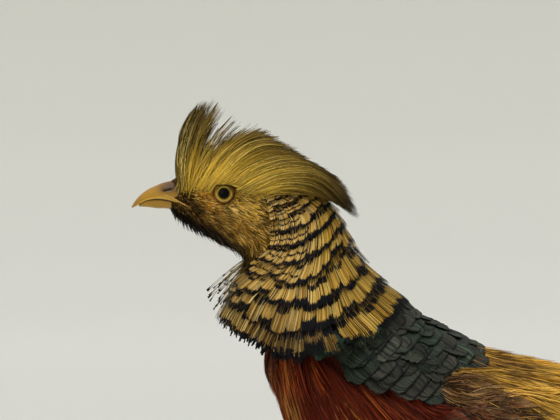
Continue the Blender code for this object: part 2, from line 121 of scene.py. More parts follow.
def unit(vectors):
    """Scale vectors to length one."""
    return vectors / np.maximum(np.linalg.norm(vectors, axis=-1, keepdims=True), 1e-12)


def ramp(value, start, run):
    """Zero at the start, one after the run, straight between; a negative run goes down."""
    return np.clip((value - start) / run, 0, 1)


def peak(value, centre, width):
    """One at the centre, fading smoothly to zero on both sides."""
    return np.exp(-((value - centre) / width) ** 2)


def flatten(way, normals):
    """Bend directions into the surface."""
    return unit(way - normals * (way * normals).sum(axis=1, keepdims=True))


class Surface:
    """A mesh that can be asked for its nearest point and the way it faces."""

    def __init__(self, mesh):
        count = len(mesh.vertices)
        self.points = np.empty(count * 3)
        mesh.vertices.foreach_get("co", self.points)
        self.points = self.points.reshape(-1, 3)
        self.normals = np.array([vert.normal[:] for vert in mesh.vertices])
        self.faces = [tuple(face.vertices) for face in mesh.polygons]
        self.tree = BVHTree.FromPolygons(self.points.tolist(), self.faces)

    def touch(self, places):
        """Nearest points and smooth outward normals for many places."""
        hits = [self.tree.find_nearest(place) for place in places]
        near = np.array([hit[0][:] for hit in hits])
        normals = np.empty_like(near)
        for row, hit in enumerate(hits):
            corners = list(self.faces[hit[2]])
            gaps = np.linalg.norm(self.points[corners] - near[row], axis=1) + 1e-6
            normals[row] = (self.normals[corners] / gaps[:, None]).sum(axis=0)
        return near, unit(normals)


form = Surface(form_mesh)

# %% [markdown]
# ## The lie of the coat
# Feathers point from the bill back over the head, down the breast and along the body. A few
# arrows placed on the bird describe that, and everywhere else takes the mean of the arrows
# near it, bent into the surface. The bird's two sides share the same arrows.

# %% Arrows that set the lie
LIE_ARROWS = [  # place (x, y, z) and direction (x, y, z), on the left side
    ((0.000, -0.167, 0.311), (0.0, 0.75, 0.65)),
    ((0.006, -0.166, 0.304), (0.3, 0.95, 0.10)),
    ((0.006, -0.163, 0.295), (0.2, 0.90, -0.35)),
    ((0.013, -0.150, 0.300), (0.1, 1.00, -0.15)),
    ((0.015, -0.136, 0.298), (0.1, 0.90, -0.45)),
    ((0.013, -0.140, 0.287), (0.0, 0.85, -0.55)),
    ((0.000, -0.155, 0.289), (0.0, 0.88, -0.45)),
    ((0.000, -0.136, 0.279), (0.0, 0.55, -0.85)),
    ((0.000, -0.145, 0.318), (0.0, 1.00, 0.10)),
    ((0.000, -0.112, 0.309), (0.0, 0.90, -0.45)),
    ((0.000, -0.127, 0.236), (0.0, 0.30, -0.95)),
    ((0.024, -0.120, 0.228), (0.15, 0.42, -0.90)),
    ((0.040, -0.098, 0.220), (0.10, 0.55, -0.82)),
    ((0.030, -0.105, 0.190), (0.10, 0.62, -0.75)),
    ((0.000, -0.095, 0.166), (0.0, 0.85, -0.50)),
    ((0.046, -0.060, 0.200), (0.05, 0.75, -0.62)),
    ((0.040, -0.060, 0.160), (0.0, 0.85, -0.45)),
    ((0.000, -0.030, 0.130), (0.0, 1.00, -0.05)),
    ((0.045, -0.010, 0.165), (0.0, 0.90, -0.35)),
    ((0.000, 0.045, 0.137), (0.0, 1.00, 0.30)),
    ((0.000, 0.085, 0.165), (0.0, 1.00, 0.25)),
    ((0.000, -0.060, 0.254), (0.0, 0.88, -0.45)),
    ((0.035, -0.060, 0.237), (0.35, 0.85, -0.55)),
    ((0.000, -0.010, 0.235), (0.0, 1.00, -0.22)),
    ((0.035, -0.005, 0.218), (0.18, 0.86, -0.58)),
    ((0.000, 0.070, 0.215), (0.0, 1.00, -0.20)),
    ((0.032, 0.070, 0.195), (0.0, 1.00, -0.25)),
    ((0.028, 0.002, 0.128), (0.05, 0.35, -0.93)),
    ((0.028, 0.024, 0.118), (0.0, 0.30, -0.95)),
    ((0.000, 0.120, 0.208), (0.0, 1.00, -0.17)),
    ((0.022, 0.130, 0.193), (0.0, 1.00, -0.20)),
    ((0.000, 0.130, 0.172), (0.0, 1.00, 0.00)),
    ((0.000, 0.200, 0.172), (0.0, 1.00, -0.17)),
]
ARROW_AT = np.array([place for place, _ in LIE_ARROWS])
ARROW_TO = unit(np.array([way for _, way in LIE_ARROWS]))


def lie_at(places, normals):
    """The way the coat lies at many places on the surface."""
    side = np.where(places[:, :1] < 0, -1.0, 1.0)
    folded = places * np.hstack([side, np.ones((len(places), 2))])
    gap = np.linalg.norm(folded[:, None, :] - ARROW_AT[None], axis=2)
    weight = 1.0 / (gap + 4 * MM) ** 3
    way = (weight[:, :, None] * ARROW_TO[None]).sum(axis=1)
    way[:, :1] *= side
    return flatten(unit(way), normals)


# %% [markdown]
# ## Spreading roots
# Feathers grow in even tracts, never in a grid. Roots are thrown at random over the faces,
# and one that lands too near another is dropped, which leaves an even, natural scatter.

# %% Scatter roots over a region


def spread_roots(surface, wanted, spacing, seed):
    """Even random places on the surface where wanted(places) says yes."""
    rng = np.random.default_rng(seed)
    triangles = []
    for face in surface.faces:
        for k in range(1, len(face) - 1):
            triangles.append((face[0], face[k], face[k + 1]))
    corners = surface.points[np.array(triangles)]
    keep = wanted(corners.mean(axis=1))
    corners = corners[keep]
    areas = np.linalg.norm(
        np.cross(corners[:, 1] - corners[:, 0], corners[:, 2] - corners[:, 0]), axis=1) / 2
    tries = int(areas.sum() / spacing ** 2 * 6) + 20
    pick = rng.choice(len(corners), size=tries, p=areas / areas.sum())
    mix = rng.dirichlet((1.0, 1.0, 1.0), size=tries)
    places = (corners[pick] * mix[:, :, None]).sum(axis=1)
    taken = {}
    kept = []
    cells = np.floor(places / spacing).astype(int)
    for row, cell in enumerate(map(tuple, cells)):
        clear = True
        for dx in (-1, 0, 1):
            for dy in (-1, 0, 1):
                for dz in (-1, 0, 1):
                    for other in taken.get((cell[0] + dx, cell[1] + dy, cell[2] + dz), ()):
                        if np.abs(places[other] - places[row]).sum() < spacing * 1.25:
                            clear = False
        if clear:
            taken.setdefault(cell, []).append(row)
            kept.append(row)
    return places[kept]


# %% [markdown]
# ## Turning paths into feathers
# Two kinds of plumage cover the bird. Loose feathers fall apart into silky locks, so a lock
# is a handful of narrow ribbons from one root. Firm feathers keep a flat vane, so a vane is a
# small curved sheet with a rounded tip. Both follow a path that creeps over the form, and
# both end up in one joined mesh per piece, with a painted colour and a place on the vane
# stored at every point.

# %% Paths over the form


def creep(surface, roots, lengths, steps, sink, rise, turn, lie=lie_at):
    """Walk from each root along the lie; height goes from -sink at the root to rise."""
    near, normals = surface.touch(roots)
    way = lie(near, normals)
    across = np.cross(way, normals)
    way = unit(way * np.cos(turn)[:, None] + across * np.sin(turn)[:, None])
    points = [near - normals * sink]
    ways = [way]
    ups = [normals]
    here = near
    for k in range(1, steps + 1):
        here, normals = surface.touch(here + way * (lengths / steps)[:, None])
        fresh = lie(here, normals)
        way = unit(flatten(way, normals) * 0.75 + fresh * 0.25)
        height = -sink + (rise + sink) * (k / steps) ** 0.8
        points.append(here + normals * np.reshape(height, (-1, 1)))
        ways.append(way)
        ups.append(normals)
    return np.stack(points, 1), np.stack(ways, 1), np.stack(ups, 1)


# %% Ribbons and vanes


def store(mesh, name, kind, values):
    """Keep values at a mesh's points; colours get a full alpha."""
    if kind == "FLOAT_COLOR":
        values = np.hstack([values, np.ones((len(values), 1))])
    field = {"FLOAT_COLOR": "color", "FLOAT_VECTOR": "vector", "FLOAT": "value"}[kind]
    data = mesh.attributes.new(name, kind, "POINT").data
    data.foreach_set(field, np.asarray(values).astype(np.float32).ravel())


class Plumage:
    """Collects ribbons and vanes, then makes one mesh of them."""

    def __init__(self, name, finish, slot):
        self.name = name
        self.finish = finish
        self.slot = slot
        self.points = []
        self.faces = []
        self.paint = []
        self.lay = []
        self.patch = []
        self.barb = []
        self.count = 0

    def add_grid(self, points, paint, lay, patch, barb=0.0):
        """Take many sheets at once; points is sheets x rows x columns x 3."""
        sheets, rows, columns = points.shape[:3]
        index = np.arange(sheets * rows * columns).reshape(sheets, rows, columns) + self.count
        quads = np.stack([index[:, :-1, :-1], index[:, :-1, 1:],
                          index[:, 1:, 1:], index[:, 1:, :-1]], axis=-1)
        self.faces.append(quads.reshape(-1, 4))
        self.points.append(points.reshape(-1, 3))
        self.paint.append(np.broadcast_to(paint, points.shape).reshape(-1, 3))
        self.lay.append(np.broadcast_to(lay, points.shape).reshape(-1, 3))
        self.patch.append(np.broadcast_to(patch, points.shape[:3] + (2,)).reshape(-1, 2))
        self.barb.append(np.broadcast_to(barb, points.shape[:3]).reshape(-1))
        self.count += sheets * rows * columns

    def finish_piece(self, *nodes):
        """Make the object, with its colours, vane places and bake map."""
        points = np.concatenate(self.points)
        faces = np.concatenate(self.faces)
        mesh = bpy.data.meshes.new(self.name)
        mesh.vertices.add(len(points))
        mesh.vertices.foreach_set("co", points.astype(np.float32).ravel())
        mesh.loops.add(faces.size)
        mesh.loops.foreach_set("vertex_index", faces.astype(np.int32).ravel())
        mesh.polygons.add(len(faces))
        mesh.polygons.foreach_set("loop_start", np.arange(0, faces.size, 4, dtype=np.int32))
        mesh.polygons.foreach_set("use_smooth", np.ones(len(faces), bool))
        mesh.update(calc_edges=True)
        store(mesh, "paint", "FLOAT_COLOR", np.concatenate(self.paint))
        store(mesh, "lay", "FLOAT_VECTOR", np.concatenate(self.lay))
        store(mesh, "barb", "FLOAT", np.concatenate(self.barb))
        corners = np.concatenate(self.patch)[faces.ravel()]
        bake = mesh.uv_layers.new(name="OFBake")
        bake.data.foreach_set("uv", corners.astype(np.float32).ravel())
        mesh.materials.append(self.finish)
        piece = bpy.data.objects.new(self.name, mesh)
        bpy.context.scene.collection.objects.link(piece)
        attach(piece, "root")
        if nodes:
            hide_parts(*nodes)
        print(self.name, "triangles", len(faces) * 2)


PATCH = 0.003                       # size of one tuft's patch on the bake map
STRIP_WIDTH = np.array([-0.04, 0.04])  # a strip's edges, as a share of its patch


def unwrapped(places):
    """Where a root lies when the bird's skin is slit below and rolled out flat."""
    round_body = np.arctan2(places[:, 0], places[:, 2] - 0.19 - 0.5 * np.maximum(
        -0.06 - places[:, 1], 0)) / (2 * math.pi) + 0.5
    low, high = -0.19, 0.80
    along = (places[:, 1] - low) / (high - low)
    along = np.clip(along, 0, 1) ** 0.55
    return np.stack([0.01 + 0.98 * round_body, 0.01 + 0.98 * along], axis=1)


def patch_for(roots, across, along):
    """Bake-map places: across and along run from 0 to 1 over each tuft's patch."""
    base = unwrapped(roots)[:, None, None, :]
    return base + PATCH * (np.stack(np.broadcast_arrays(across, along), axis=-1) - 0.5)


def add_strips(coat, path, edge, tone, share, roots, inner, lot=0.0, place=0.0):
    """Add two-edged strips, one along each path; inner says where in its patch each lies."""
    sheet = np.stack([path - edge, path + edge], axis=2)
    lay = np.zeros(sheet.shape)
    lay[..., 0] = place
    lay[..., 1] = share[..., None]
    lay[..., 2] = lot
    patch = patch_for(roots, inner, share[..., None])
    coat.add_grid(sheet, tone[:, :, None, :], lay, patch)


def add_locks(coat, roots, path, ways, ups, strands, width, fan, paint, seed,
              ribbon, ragged, loft, narrow):
    """Split each path into a lock of ribbons that spread towards the tip."""
    rng = np.random.default_rng(seed)
    locks, rows = path.shape[:2]
    share = np.linspace(0, 1, rows)
    across = unit(np.cross(ways, ups))
    for k in range(strands):
        slot = (k + 0.5) / strands * 2 - 1
        place = slot + rng.normal(0, 0.35 / strands * 2, locks)
        reach = 1.0 - rng.random(locks) * ragged - 0.12 * place ** 2
        spot = share[None, :] * reach[:, None]
        low = np.clip((spot * (rows - 1)).astype(int), 0, rows - 2)
        mix = (spot * (rows - 1) - low)[..., None]
        pick = np.arange(locks)[:, None]
        centre = path[pick, low] * (1 - mix) + path[pick, low + 1] * mix
        side = across[pick, low]
        up = ups[pick, low]
        half = width[:, None] * (narrow + (1 - narrow) * spot ** 0.7) + fan[:, None] * spot ** 2
        bend = rng.normal(0, 0.10, locks)[:, None] * spot ** 2 * half
        centre = centre + side * (place[:, None] * half + bend)[..., None]
        centre = centre + up * (rng.normal(0, 1, locks)[:, None] * loft * (0.3 + spot))[..., None]
        roll = rng.normal(0, 0.5, locks)[:, None, None]
        flat = unit(side + up * roll)
        thin = ribbon * (0.75 + 0.5 * rng.random(locks))[:, None, None]
        taper = (1.0 - 0.85 * share ** 2.5)[None, :, None]
        tone = paint(rng, locks, share)
        inner = ramp(place[:, None, None], -1, 2) + STRIP_WIDTH
        add_strips(coat, centre, flat * thin * taper / 2, tone, share, roots, inner,
                   rng.random((locks, 1, 1)), place[:, None, None] * 0.5 + 0.5)


TIP_BEGINS = 0.55                   # share of a vane's length where its tip starts to round


def vane_outline(share, square, stem):
    """Half width of a vane along its length: a narrow foot, then a rounded or square tip."""
    foot = stem + (1 - stem) * ramp(share, 0, 0.45) ** 0.8
    past = ramp(share, TIP_BEGINS, 1 - TIP_BEGINS)
    return foot * (1 - past ** square) ** (1 / square)


def add_vanes(coat, roots, path, ways, ups, width, paint, seed,
              columns, square, camber, ragged, stem=0.45, strips=None, rows=None,
              fanned=False):
    """Give each path a flat, slightly arched vane with a rounded tip.

    Big feathers pass strips=(first, total) to get a strip of the bake map each. Fanned
    vanes have barbs that run out from the foot instead of from the shaft.
    """
    rng = np.random.default_rng(seed)
    vanes, stops = path.shape[:2]
    rows = rows or stops
    share = 1 - (1 - np.linspace(0, 1, rows)) ** 1.25
    place = share * (stops - 1)
    low = np.clip(place.astype(int), 0, stops - 2)
    mix = (place - low)[None, :, None]
    centre = path[:, low] * (1 - mix) + path[:, low + 1] * mix
    side = unit(np.cross(ways, ups))[:, low]
    up = ups[:, low]
    u = np.linspace(-1, 1, columns)
    half = width[:, None] / 2 * vane_outline(share, square, stem)[None, :]
    frayed = 1 + rng.normal(0, ragged, (vanes, rows, columns)) * np.abs(u) ** 4
    out = half[:, :, None] * u * frayed
    sheet = (centre[:, :, None, :] + side[:, :, None, :] * out[..., None]
             - up[:, :, None, :] * (camber * half[:, :, None] * u ** 2)[..., None])
    steps = np.linalg.norm(np.diff(path, axis=1), axis=2).sum(axis=1)
    random = rng.random(vanes)
    lay = np.zeros(sheet.shape)
    lay[..., 0] = out / MM
    lay[..., 1] = steps[:, None, None] * share[None, :, None] / MM
    lay[..., 2] = random[:, None, None]
    barb = lay[..., 1] - 0.8 * np.abs(lay[..., 0])
    if fanned:
        barb = 0.30 * lay[..., 1] - np.abs(u) * width[:, None, None] / 2 / MM
    tone = paint(rng, vanes, share, u)
    if strips is None:
        patch = patch_for(roots, (u + 1) / 2, share[:, None])
    else:
        first, total = strips
        column = first + np.arange(vanes)[:, None, None] + 0.5 + 0.45 * u[None, None, :]
        reach = (steps / steps.max())[:, None, None] * share[None, :, None]
        patch = np.stack(np.broadcast_arrays(column / total, 0.005 + 0.99 * reach), axis=-1)
    coat.add_grid(sheet, tone, lay, patch, barb + random[:, None, None] * 50)


# %% [markdown]
# ## Colours and feather finishes
# Colours are named as a painter would mix them, in the everyday screen scale, and turned
# into linear values once. A feather's colour, its painted shade and highlights included, is
# stored at its points. The finish then adds what is too fine to model: the faint streaks
# between barbs and a soft, slightly waxy shine.

# %% Colours


def tint(red, green, blue):
    """A screen colour as linear values."""
    scaled = np.array([red, green, blue]) / 255.0
    return np.where(scaled <= 0.04045, scaled / 12.92, ((scaled + 0.055) / 1.055) ** 2.4)


STRAW = tint(222, 190, 110)
GOLD = tint(196, 156, 62)
CAPE_BLACK = tint(12, 12, 15)
SLATE_GREEN = tint(66, 78, 68)
MAHOGANY = tint(98, 32, 11)
DEEP_MAROON = tint(48, 14, 8)
FOX = tint(164, 78, 26)
AMBER = tint(196, 142, 62)


def blend(first, second, amount):
    """Mix two colours by amounts given per item."""
    amount = np.asarray(amount)[..., None]
    return first * (1 - amount) + second * amount


# %% The feather finish


def node_of(tree, kind, **settings):
    """Add a node and set its properties."""
    node = tree.nodes.new(kind)
    for key, value in settings.items():
        setattr(node, key, value)
    return node


def maths(tree, how, first, second=None, third=None):
    """Add a maths node fed by sockets or plain numbers."""
    node = node_of(tree, "ShaderNodeMath", operation=how)
    for slot, value in enumerate((first, second, third)):
        if value is None:
            continue
        if isinstance(value, (int, float)):
            node.inputs[slot].default_value = value
        else:
            tree.links.new(value, node.inputs[slot])
    return node.outputs[0]


def mix_colours(tree, amount, first, second, how="MIX"):
    """Mix two colours, each a socket or a tuple."""
    node = node_of(tree, "ShaderNodeMix", data_type="RGBA", blend_type=how)
    for slot, value in ((0, amount), (6, first), (7, second)):
        if isinstance(value, bpy.types.NodeSocket):
            tree.links.new(value, node.inputs[slot])
        elif slot == 0:
            node.inputs[slot].default_value = value
        else:
            node.inputs[slot].default_value = (*value, 1.0)
    return node.outputs[2]


def finish(name, roughness, coat=0.0, specular=0.06):
    """Start a material and return it with its tree and its shader."""
    material = bpy.data.materials.new(name)
    material.use_nodes = True
    tree = material.node_tree
    shader = tree.nodes["Principled BSDF"]
    shader.inputs["Roughness"].default_value = roughness
    shader.inputs["Coat Weight"].default_value = coat
    shader.inputs["Specular IOR Level"].default_value = specular
    return material, tree, shader


def stored(tree, name):
    """Read a value stored on the mesh."""
    return node_of(tree, "ShaderNodeAttribute", attribute_name=name)


BUMP_HEIGHT = 0.2 * MM


def squeezed(tree, where, scale):
    """Places scaled along each axis."""
    squeeze = node_of(tree, "ShaderNodeMapping")
    squeeze.inputs["Scale"].default_value = scale
    tree.links.new(where, squeeze.inputs["Vector"])
    return squeeze.outputs["Vector"]


def noise(tree, where, scale, detail, twist=0.0):
    """Cloudy noise over places."""
    cloud = node_of(tree, "ShaderNodeTexNoise")
    cloud.inputs["Scale"].default_value = scale
    cloud.inputs["Detail"].default_value = detail
    cloud.inputs["Distortion"].default_value = twist
    tree.links.new(where, cloud.inputs["Vector"])
    return cloud.outputs["Fac"]


def object_places(tree):
    """Places on the object itself."""
    return node_of(tree, "ShaderNodeTexCoord").outputs["Object"]


def dim_paint(tree, shader, light, paint=None):
    """Show the stored colour, or another one, multiplied by a lightness."""
    shade = node_of(tree, "ShaderNodeCombineColor")
    for slot in range(3):
        tree.links.new(light, shade.inputs[slot])
    if paint is None:
        paint = stored(tree, "paint").outputs["Color"]
    colour = mix_colours(tree, 1.0, paint, shade.outputs[0], "MULTIPLY")
    tree.links.new(colour, shader.inputs["Base Color"])


def lift_bump(tree, shader, height, strength):
    """Feed a height into the shader as bump."""
    bump = node_of(tree, "ShaderNodeBump")
    bump.inputs["Strength"].default_value = strength
    bump.inputs["Distance"].default_value = BUMP_HEIGHT
    tree.links.new(height, bump.inputs["Height"])
    tree.links.new(bump.outputs["Normal"], shader.inputs["Normal"])


def silky_finish(name, roughness=0.55, streak=0.35):
    """Loose feathers: the stored colour with fine streaks along each ribbon."""
    material, tree, shader = finish(name, roughness)
    lay = squeezed(tree, stored(tree, "lay").outputs["Vector"], (9.0, 3.0, 60.0))
    grain = noise(tree, lay, 1.7, 3.0)
    dim_paint(tree, shader, maths(tree, "MULTIPLY_ADD", grain, streak * 2, 1 - streak))
    lift_bump(tree, shader, grain, 0.35)
    return material


def barbs(tree, pitch):
    """Fine ridges that slant out from the shaft; used as colour they are painted highlight and
    shade lines.
    """
    phase = stored(tree, "barb").outputs["Fac"]
    wave = maths(tree, "SINE", maths(tree, "MULTIPLY", phase, 2 * math.pi / pitch))
    return maths(tree, "MULTIPLY_ADD", wave, 0.5, 0.5)


# %% [markdown]
# ## The skin
# On the real mount one tanned skin covers head, neck, trunk and thighs. It shows only at the
# ring of lids, at the base of the bill and as shade between feathers. It is the outer form
# sunk by the depth of the coat, so it is one piece without a seam, and it takes the colour
# of the feathers above it, darkened as painted shade.

# %% Where the eyes sit
EYES = {}
for word, side in (("left", 1), ("right", -1)):
    low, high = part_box(f"eye_{word}")
    EYES[side] = (np.array((low + high) / 2), (high.y - low.y) / 2)
EYE_CENTRE, EYE_RADIUS = EYES[1]
print("eye centre", EYE_CENTRE, "radius", EYE_RADIUS)

# %% The bird's markings by place


def near(places, centre, radius):
    """One near a spot in side view, fading to zero past the radius; both sides alike."""
    gap = np.linalg.norm(places[:, 1:] - np.array(centre), axis=1)
    return peak(gap, 0, radius)


def line_gap(y, z, line):
    """Distance in side view from a line through (y, z) points."""
    gaps = []
    for start, end in zip(np.array(line)[:-1], np.array(line)[1:]):
        run = end - start
        t = np.clip(((y - start[0]) * run[0] + (z - start[1]) * run[1]) / (run @ run), 0, 1)
        gaps.append(np.hypot(y - start[0] - run[0] * t, z - start[1] - run[1] * t))
    return np.min(gaps, axis=0)


BROW = [(-0.1550, 0.3087), (-0.1495, 0.3085), (-0.1440, 0.3085), (-0.1400, 0.3072),
        (-0.1365, 0.3058)]
EAR_EDGE = [(-0.1352, 0.3040), (-0.1312, 0.3022), (-0.1292, 0.2975), (-0.1300, 0.2925)]
LORE = [(-0.1668, 0.3082), (-0.1632, 0.3045), (-0.1590, 0.3010), (-0.1560, 0.2975)]
CHIN = [(-0.1680, 0.2955), (-0.1617, 0.2925), (-0.1575, 0.2900), (-0.1512, 0.2865),
        (-0.1449, 0.2830), (-0.1386, 0.2795), (-0.1344, 0.2772)]
GAPE = [(-0.1705, 0.3046), (-0.1665, 0.3030), (-0.1625, 0.3008), (-0.1588, 0.2990)]


def face_colour(places):
    """Rusty tan, dark round the gape, golden over the eye; painted shade darkens the chin and runs
    in lines along the brow and the ear edge.
    """
    y, z = places[:, 1], places[:, 2]
    colour = np.tile(tint(132, 92, 24), (len(places), 1))
    spots = [
        ((-0.1530, 0.3035), 4.6 * MM, tint(228, 152, 40), 0.95),
        ((-0.1345, 0.2995), 5.6 * MM, tint(226, 174, 58), 0.85),
        ((-0.1385, 0.2895), 5.0 * MM, tint(172, 120, 36), 0.6),
        ((-0.1440, 0.2985), 2.8 * MM, tint(206, 174, 94), 0.6),
        ((-0.1450, 0.3125), 4.0 * MM, tint(216, 172, 56), 0.95),
        ((-0.1330, 0.3070), 5.5 * MM, tint(238, 188, 60), 0.95),
        ((-0.1500, 0.2950), 3.4 * MM, tint(96, 64, 26), 0.7),
    ]
    for centre, radius, shade, strength in spots:
        colour = blend(colour, shade, near(places, centre, radius) * strength)
    lore = peak(line_gap(y, z, LORE), 0, 2.6 * MM)
    colour = blend(colour, tint(34, 22, 10), lore * 0.92)
    # the chin painted near black: shade under the head
    reach = np.interp(y, [-0.165, -0.135], [6.2 * MM, 3.6 * MM])
    chin = np.exp(-(line_gap(y, z, CHIN) / reach) ** 4)
    colour = blend(colour, tint(13, 9, 6), chin * np.interp(y, [-0.15, -0.134], [1.0, 0.85]))
    # dark lines along the brow and the ear edge: painted shadow where the crest and the cape meet
    # the face
    for line, wide, strength in ((BROW, 0.55 * MM, 0.9), (EAR_EDGE, 1.1 * MM, 0.95)):
        gap = line_gap(y, z, line)
        colour = blend(colour, tint(44, 29, 12), peak(gap, 0, wide) * strength)
    return colour


MANTLE_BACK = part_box("mantle")[1].y
CAPE_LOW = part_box("cape")[0].z


def mantle_floor(places):
    """Height of the mantle's lower edge beside a place."""
    return 0.2315 - 0.45 * (places[:, 1] + 0.0745)


def rump_floor(places):
    """Height of the golden back's lower edge beside a place."""
    return 0.2175 - 0.22 * places[:, 1]


def ground_colour(places):
    """The colour of the plumage over any place on the body."""
    body = np.tile(MAHOGANY, (len(places), 1))
    rear = 1 / (1 + np.exp(-(places[:, 1] - 0.02) / 0.012))
    body = blend(body, tint(110, 52, 24), rear)
    above = places[:, 2] - mantle_floor(places)
    body = np.where(((above > 0) & (places[:, 1] < MANTLE_BACK))[:, None], SLATE_GREEN, body)
    golden = (places[:, 2] > rump_floor(places)) & (places[:, 1] >= MANTLE_BACK)
    body = np.where(golden[:, None], GOLD, body)
    neck = places[:, 2] > CAPE_LOW + 0.45 * np.maximum(places[:, 1] + 0.10, 0)
    body = np.where((neck & (places[:, 1] < -0.068))[:, None], tint(62, 50, 28), body)
    head = places[:, 1] < -0.128 - 0.3 * (places[:, 2] - 0.296)
    head &= places[:, 2] > 0.277
    return np.where(head[:, None], face_colour(places), body)


# %% Shape the skin
def coat_depth(places):
    """How thick the plumage is over the skin at each place."""
    depth = np.full(len(places), 5.5 * MM)
    head = ramp(places[:, 1], -0.122, -0.012) * (places[:, 2] > 0.274)
    depth = depth * (1 - head) + 1.1 * MM * head
    bill = ramp(places[:, 1], -0.158, -0.008)
    depth = depth * (1 - bill) + 0.4 * MM * bill
    leg = (places[:, 2] < 0.135) & (np.abs(places[:, 0]) > 0.012)
    return np.where(leg, np.minimum(depth, 2.5 * MM), depth)


LID_RINGS = [  # distance from the line of sight, height over the ball's centre, hold (mm)
    (0.0, 2.00, 1.0), (2.82, 2.20, 1.0), (2.96, 3.72, 1.0), (3.12, 3.86, 1.0),
    (3.35, 3.76, 1.0), (3.80, 3.64, 0.9), (4.8, 3.30, 0.6), (6.4, 2.60, 0.0)]


def lid_level(flat):
    """How far out the lids' skin stands at a distance from the line of sight."""
    rings = np.array(LID_RINGS)
    level = np.interp(flat, rings[:, 0], rings[:, 1])
    return EYE_CENTRE[0] + level * MM, np.interp(flat, rings[:, 0], rings[:, 2])


def make_skin():
    """One skin for the head, neck, trunk and thighs, with rings of lids."""
    mesh = joined_form(FLESH, 1.6 * MM, 6)
    shape = bmesh.new()
    shape.from_mesh(mesh)
    for reach in (8.5, 7.5, 6.5):
        ring = [edge for edge in shape.edges if min(
            (Vector((abs(vert.co.x), *vert.co.yz)) - Vector(EYE_CENTRE)).length
            for vert in edge.verts) < reach * MM]
        bmesh.ops.subdivide_edges(shape, edges=ring, cuts=1, use_grid_fill=True)
    bmesh.ops.triangulate(shape, faces=[f for f in shape.faces if len(f.verts) > 4])
    shape.normal_update()
    places = np.array([vert.co[:] for vert in shape.verts])
    depth = coat_depth(places)
    for vert, sink in zip(shape.verts, depth):
        vert.co -= vert.normal * sink
        side = 1.0 if vert.co.x > 0 else -1.0
        flat = math.hypot(vert.co.y - EYE_CENTRE[1], vert.co.z - EYE_CENTRE[2]) / MM
        if flat < LID_RINGS[-1][0] and abs(vert.co.x) > 6 * MM:
            level, hold = lid_level(flat)
            vert.co.x += (side * level - vert.co.x) * hold
    shape.to_mesh(mesh)
    shape.free()
    mesh.shade_smooth()
    return mesh


skin_mesh = make_skin()
print("skin points", len(skin_mesh.vertices))


# %% The skin's finish
def skin_finish():
    """Dry, fine-pored skin in the coat's colours darkened as painted shade, paler on the lids."""
    material, tree, shader = finish("tanned_skin", 0.6)
    grain = noise(tree, object_places(tree), 1400.0, 4.0)
    dim_paint(tree, shader, maths(tree, "MULTIPLY_ADD", grain, 0.6, 0.7))
    lift_bump(tree, shader, grain, 0.5)
    return material


def dress_skin(mesh):
    """Colour the skin by place and put it in the scene."""
    count = len(mesh.vertices)
    places = np.empty(count * 3)
    mesh.vertices.foreach_get("co", places)
    places = places.reshape(-1, 3)
    # the coat's colours at a third: painted shade under the feathers
    colour = ground_colour(places) * 0.35
    flat = np.hypot(places[:, 1] - EYE_CENTRE[1], places[:, 2] - EYE_CENTRE[2])
    outer = np.abs(places[:, 0]) > 8 * MM
    # lower lid pale; upper lid painted dark as shade under the brow
    upper = ramp(places[:, 2] - EYE_CENTRE[2], -0.6 * MM, 2.2 * MM)[:, None]
    lid_and_shade_tone = tint(204, 168, 92) * (1 - upper) + tint(52, 38, 16) * upper
    lid = peak(flat, 3.10 * MM, 0.28 * MM) * outer
    around = peak(flat, 4.0 * MM, 0.8 * MM) * outer
    colour = blend(colour, tint(140, 102, 44), around * 0.9)
    colour = colour * (1 - lid[:, None]) + lid_and_shade_tone * lid[:, None]
    # skin inside the lid painted near black: shade in the socket round the ball
    dark = (flat < 2.88 * MM) & outer
    colour = blend(colour, tint(24, 18, 10), dark)
    store(mesh, "paint", "FLOAT_COLOR", colour)
    mesh.materials.clear()
    mesh.materials.append(skin_finish())
    piece = bpy.data.objects.new("skin", mesh)
    bpy.context.scene.collection.objects.link(piece)
    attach(piece, "root")
    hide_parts(*FLESH)


dress_skin(skin_mesh)

# %% [markdown]
# ## Face feathers
# The face wears scale-small feathers that fan back from the bill round the eye. Each is a
# tuft of five short ribbons. They're shortest beside the bill and the lids and
# longer on the cheek and throat. Each takes the face colour under its root, markings and
# painted shade alike, with painted shade at the foot and a painted highlight towards the tip.
# Some ribbons are painted pale as highlights and some dark as shade between tufts.

# %% Smooth tables


def through(knots, values, at):
    """A smooth curve through tabled values, read at many places."""
    knots = np.asarray(knots, float)
    values = np.asarray(values, float)
    at = np.clip(at, knots[0], knots[-1])
    slope = np.gradient(values, knots, axis=0)
    row = np.clip(np.searchsorted(knots, at, side="right") - 1, 0, len(knots) - 2)
    more = at.shape + (1,) * (values.ndim - 1)
    width = (knots[row + 1] - knots[row]).reshape(more)
    t = (at - knots[row]).reshape(more) / width
    return ((2 * t ** 3 - 3 * t ** 2 + 1) * values[row]
            + (t ** 3 - 2 * t ** 2 + t) * width * slope[row]
            + (3 * t ** 2 - 2 * t ** 3) * values[row + 1]
            + (t ** 3 - t ** 2) * width * slope[row + 1])


def kept_hue(tone, limit=0.9):
    """Dim colours brighter than a limit without changing their hue."""
    return tone * (limit / np.maximum(tone.max(axis=-1, keepdims=True), limit))


def shaded(base, rng, share, spread, root, warm=0.06):
    """A ribbon's colour: each one a little lighter or darker, and dark at its foot as painted
    shade.
    """
    count = len(base)
    light = np.exp(rng.normal(0, spread, count))
    # the foot is darkened: painted shade where the ribbon lies under others
    foot_shade = root + (1 - root) * share ** 0.6
    hue = 1 + rng.normal(0, warm, (count, 1)) * np.array([0.4, 0.0, -1.0])
    tone = base[:, None, :] * (light[:, None] * foot_shade[None, :])[..., None]
    return kept_hue(tone * hue[:, None, :])


# %% Grow the face coat
BORDER_Z = [0.2780, 0.2809, 0.2847, 0.2931, 0.3006, 0.3065, 0.3165]
BORDER_Y = [-0.1336, -0.1336, -0.1315, -0.1277, -0.1273, -0.1285, -0.1310]


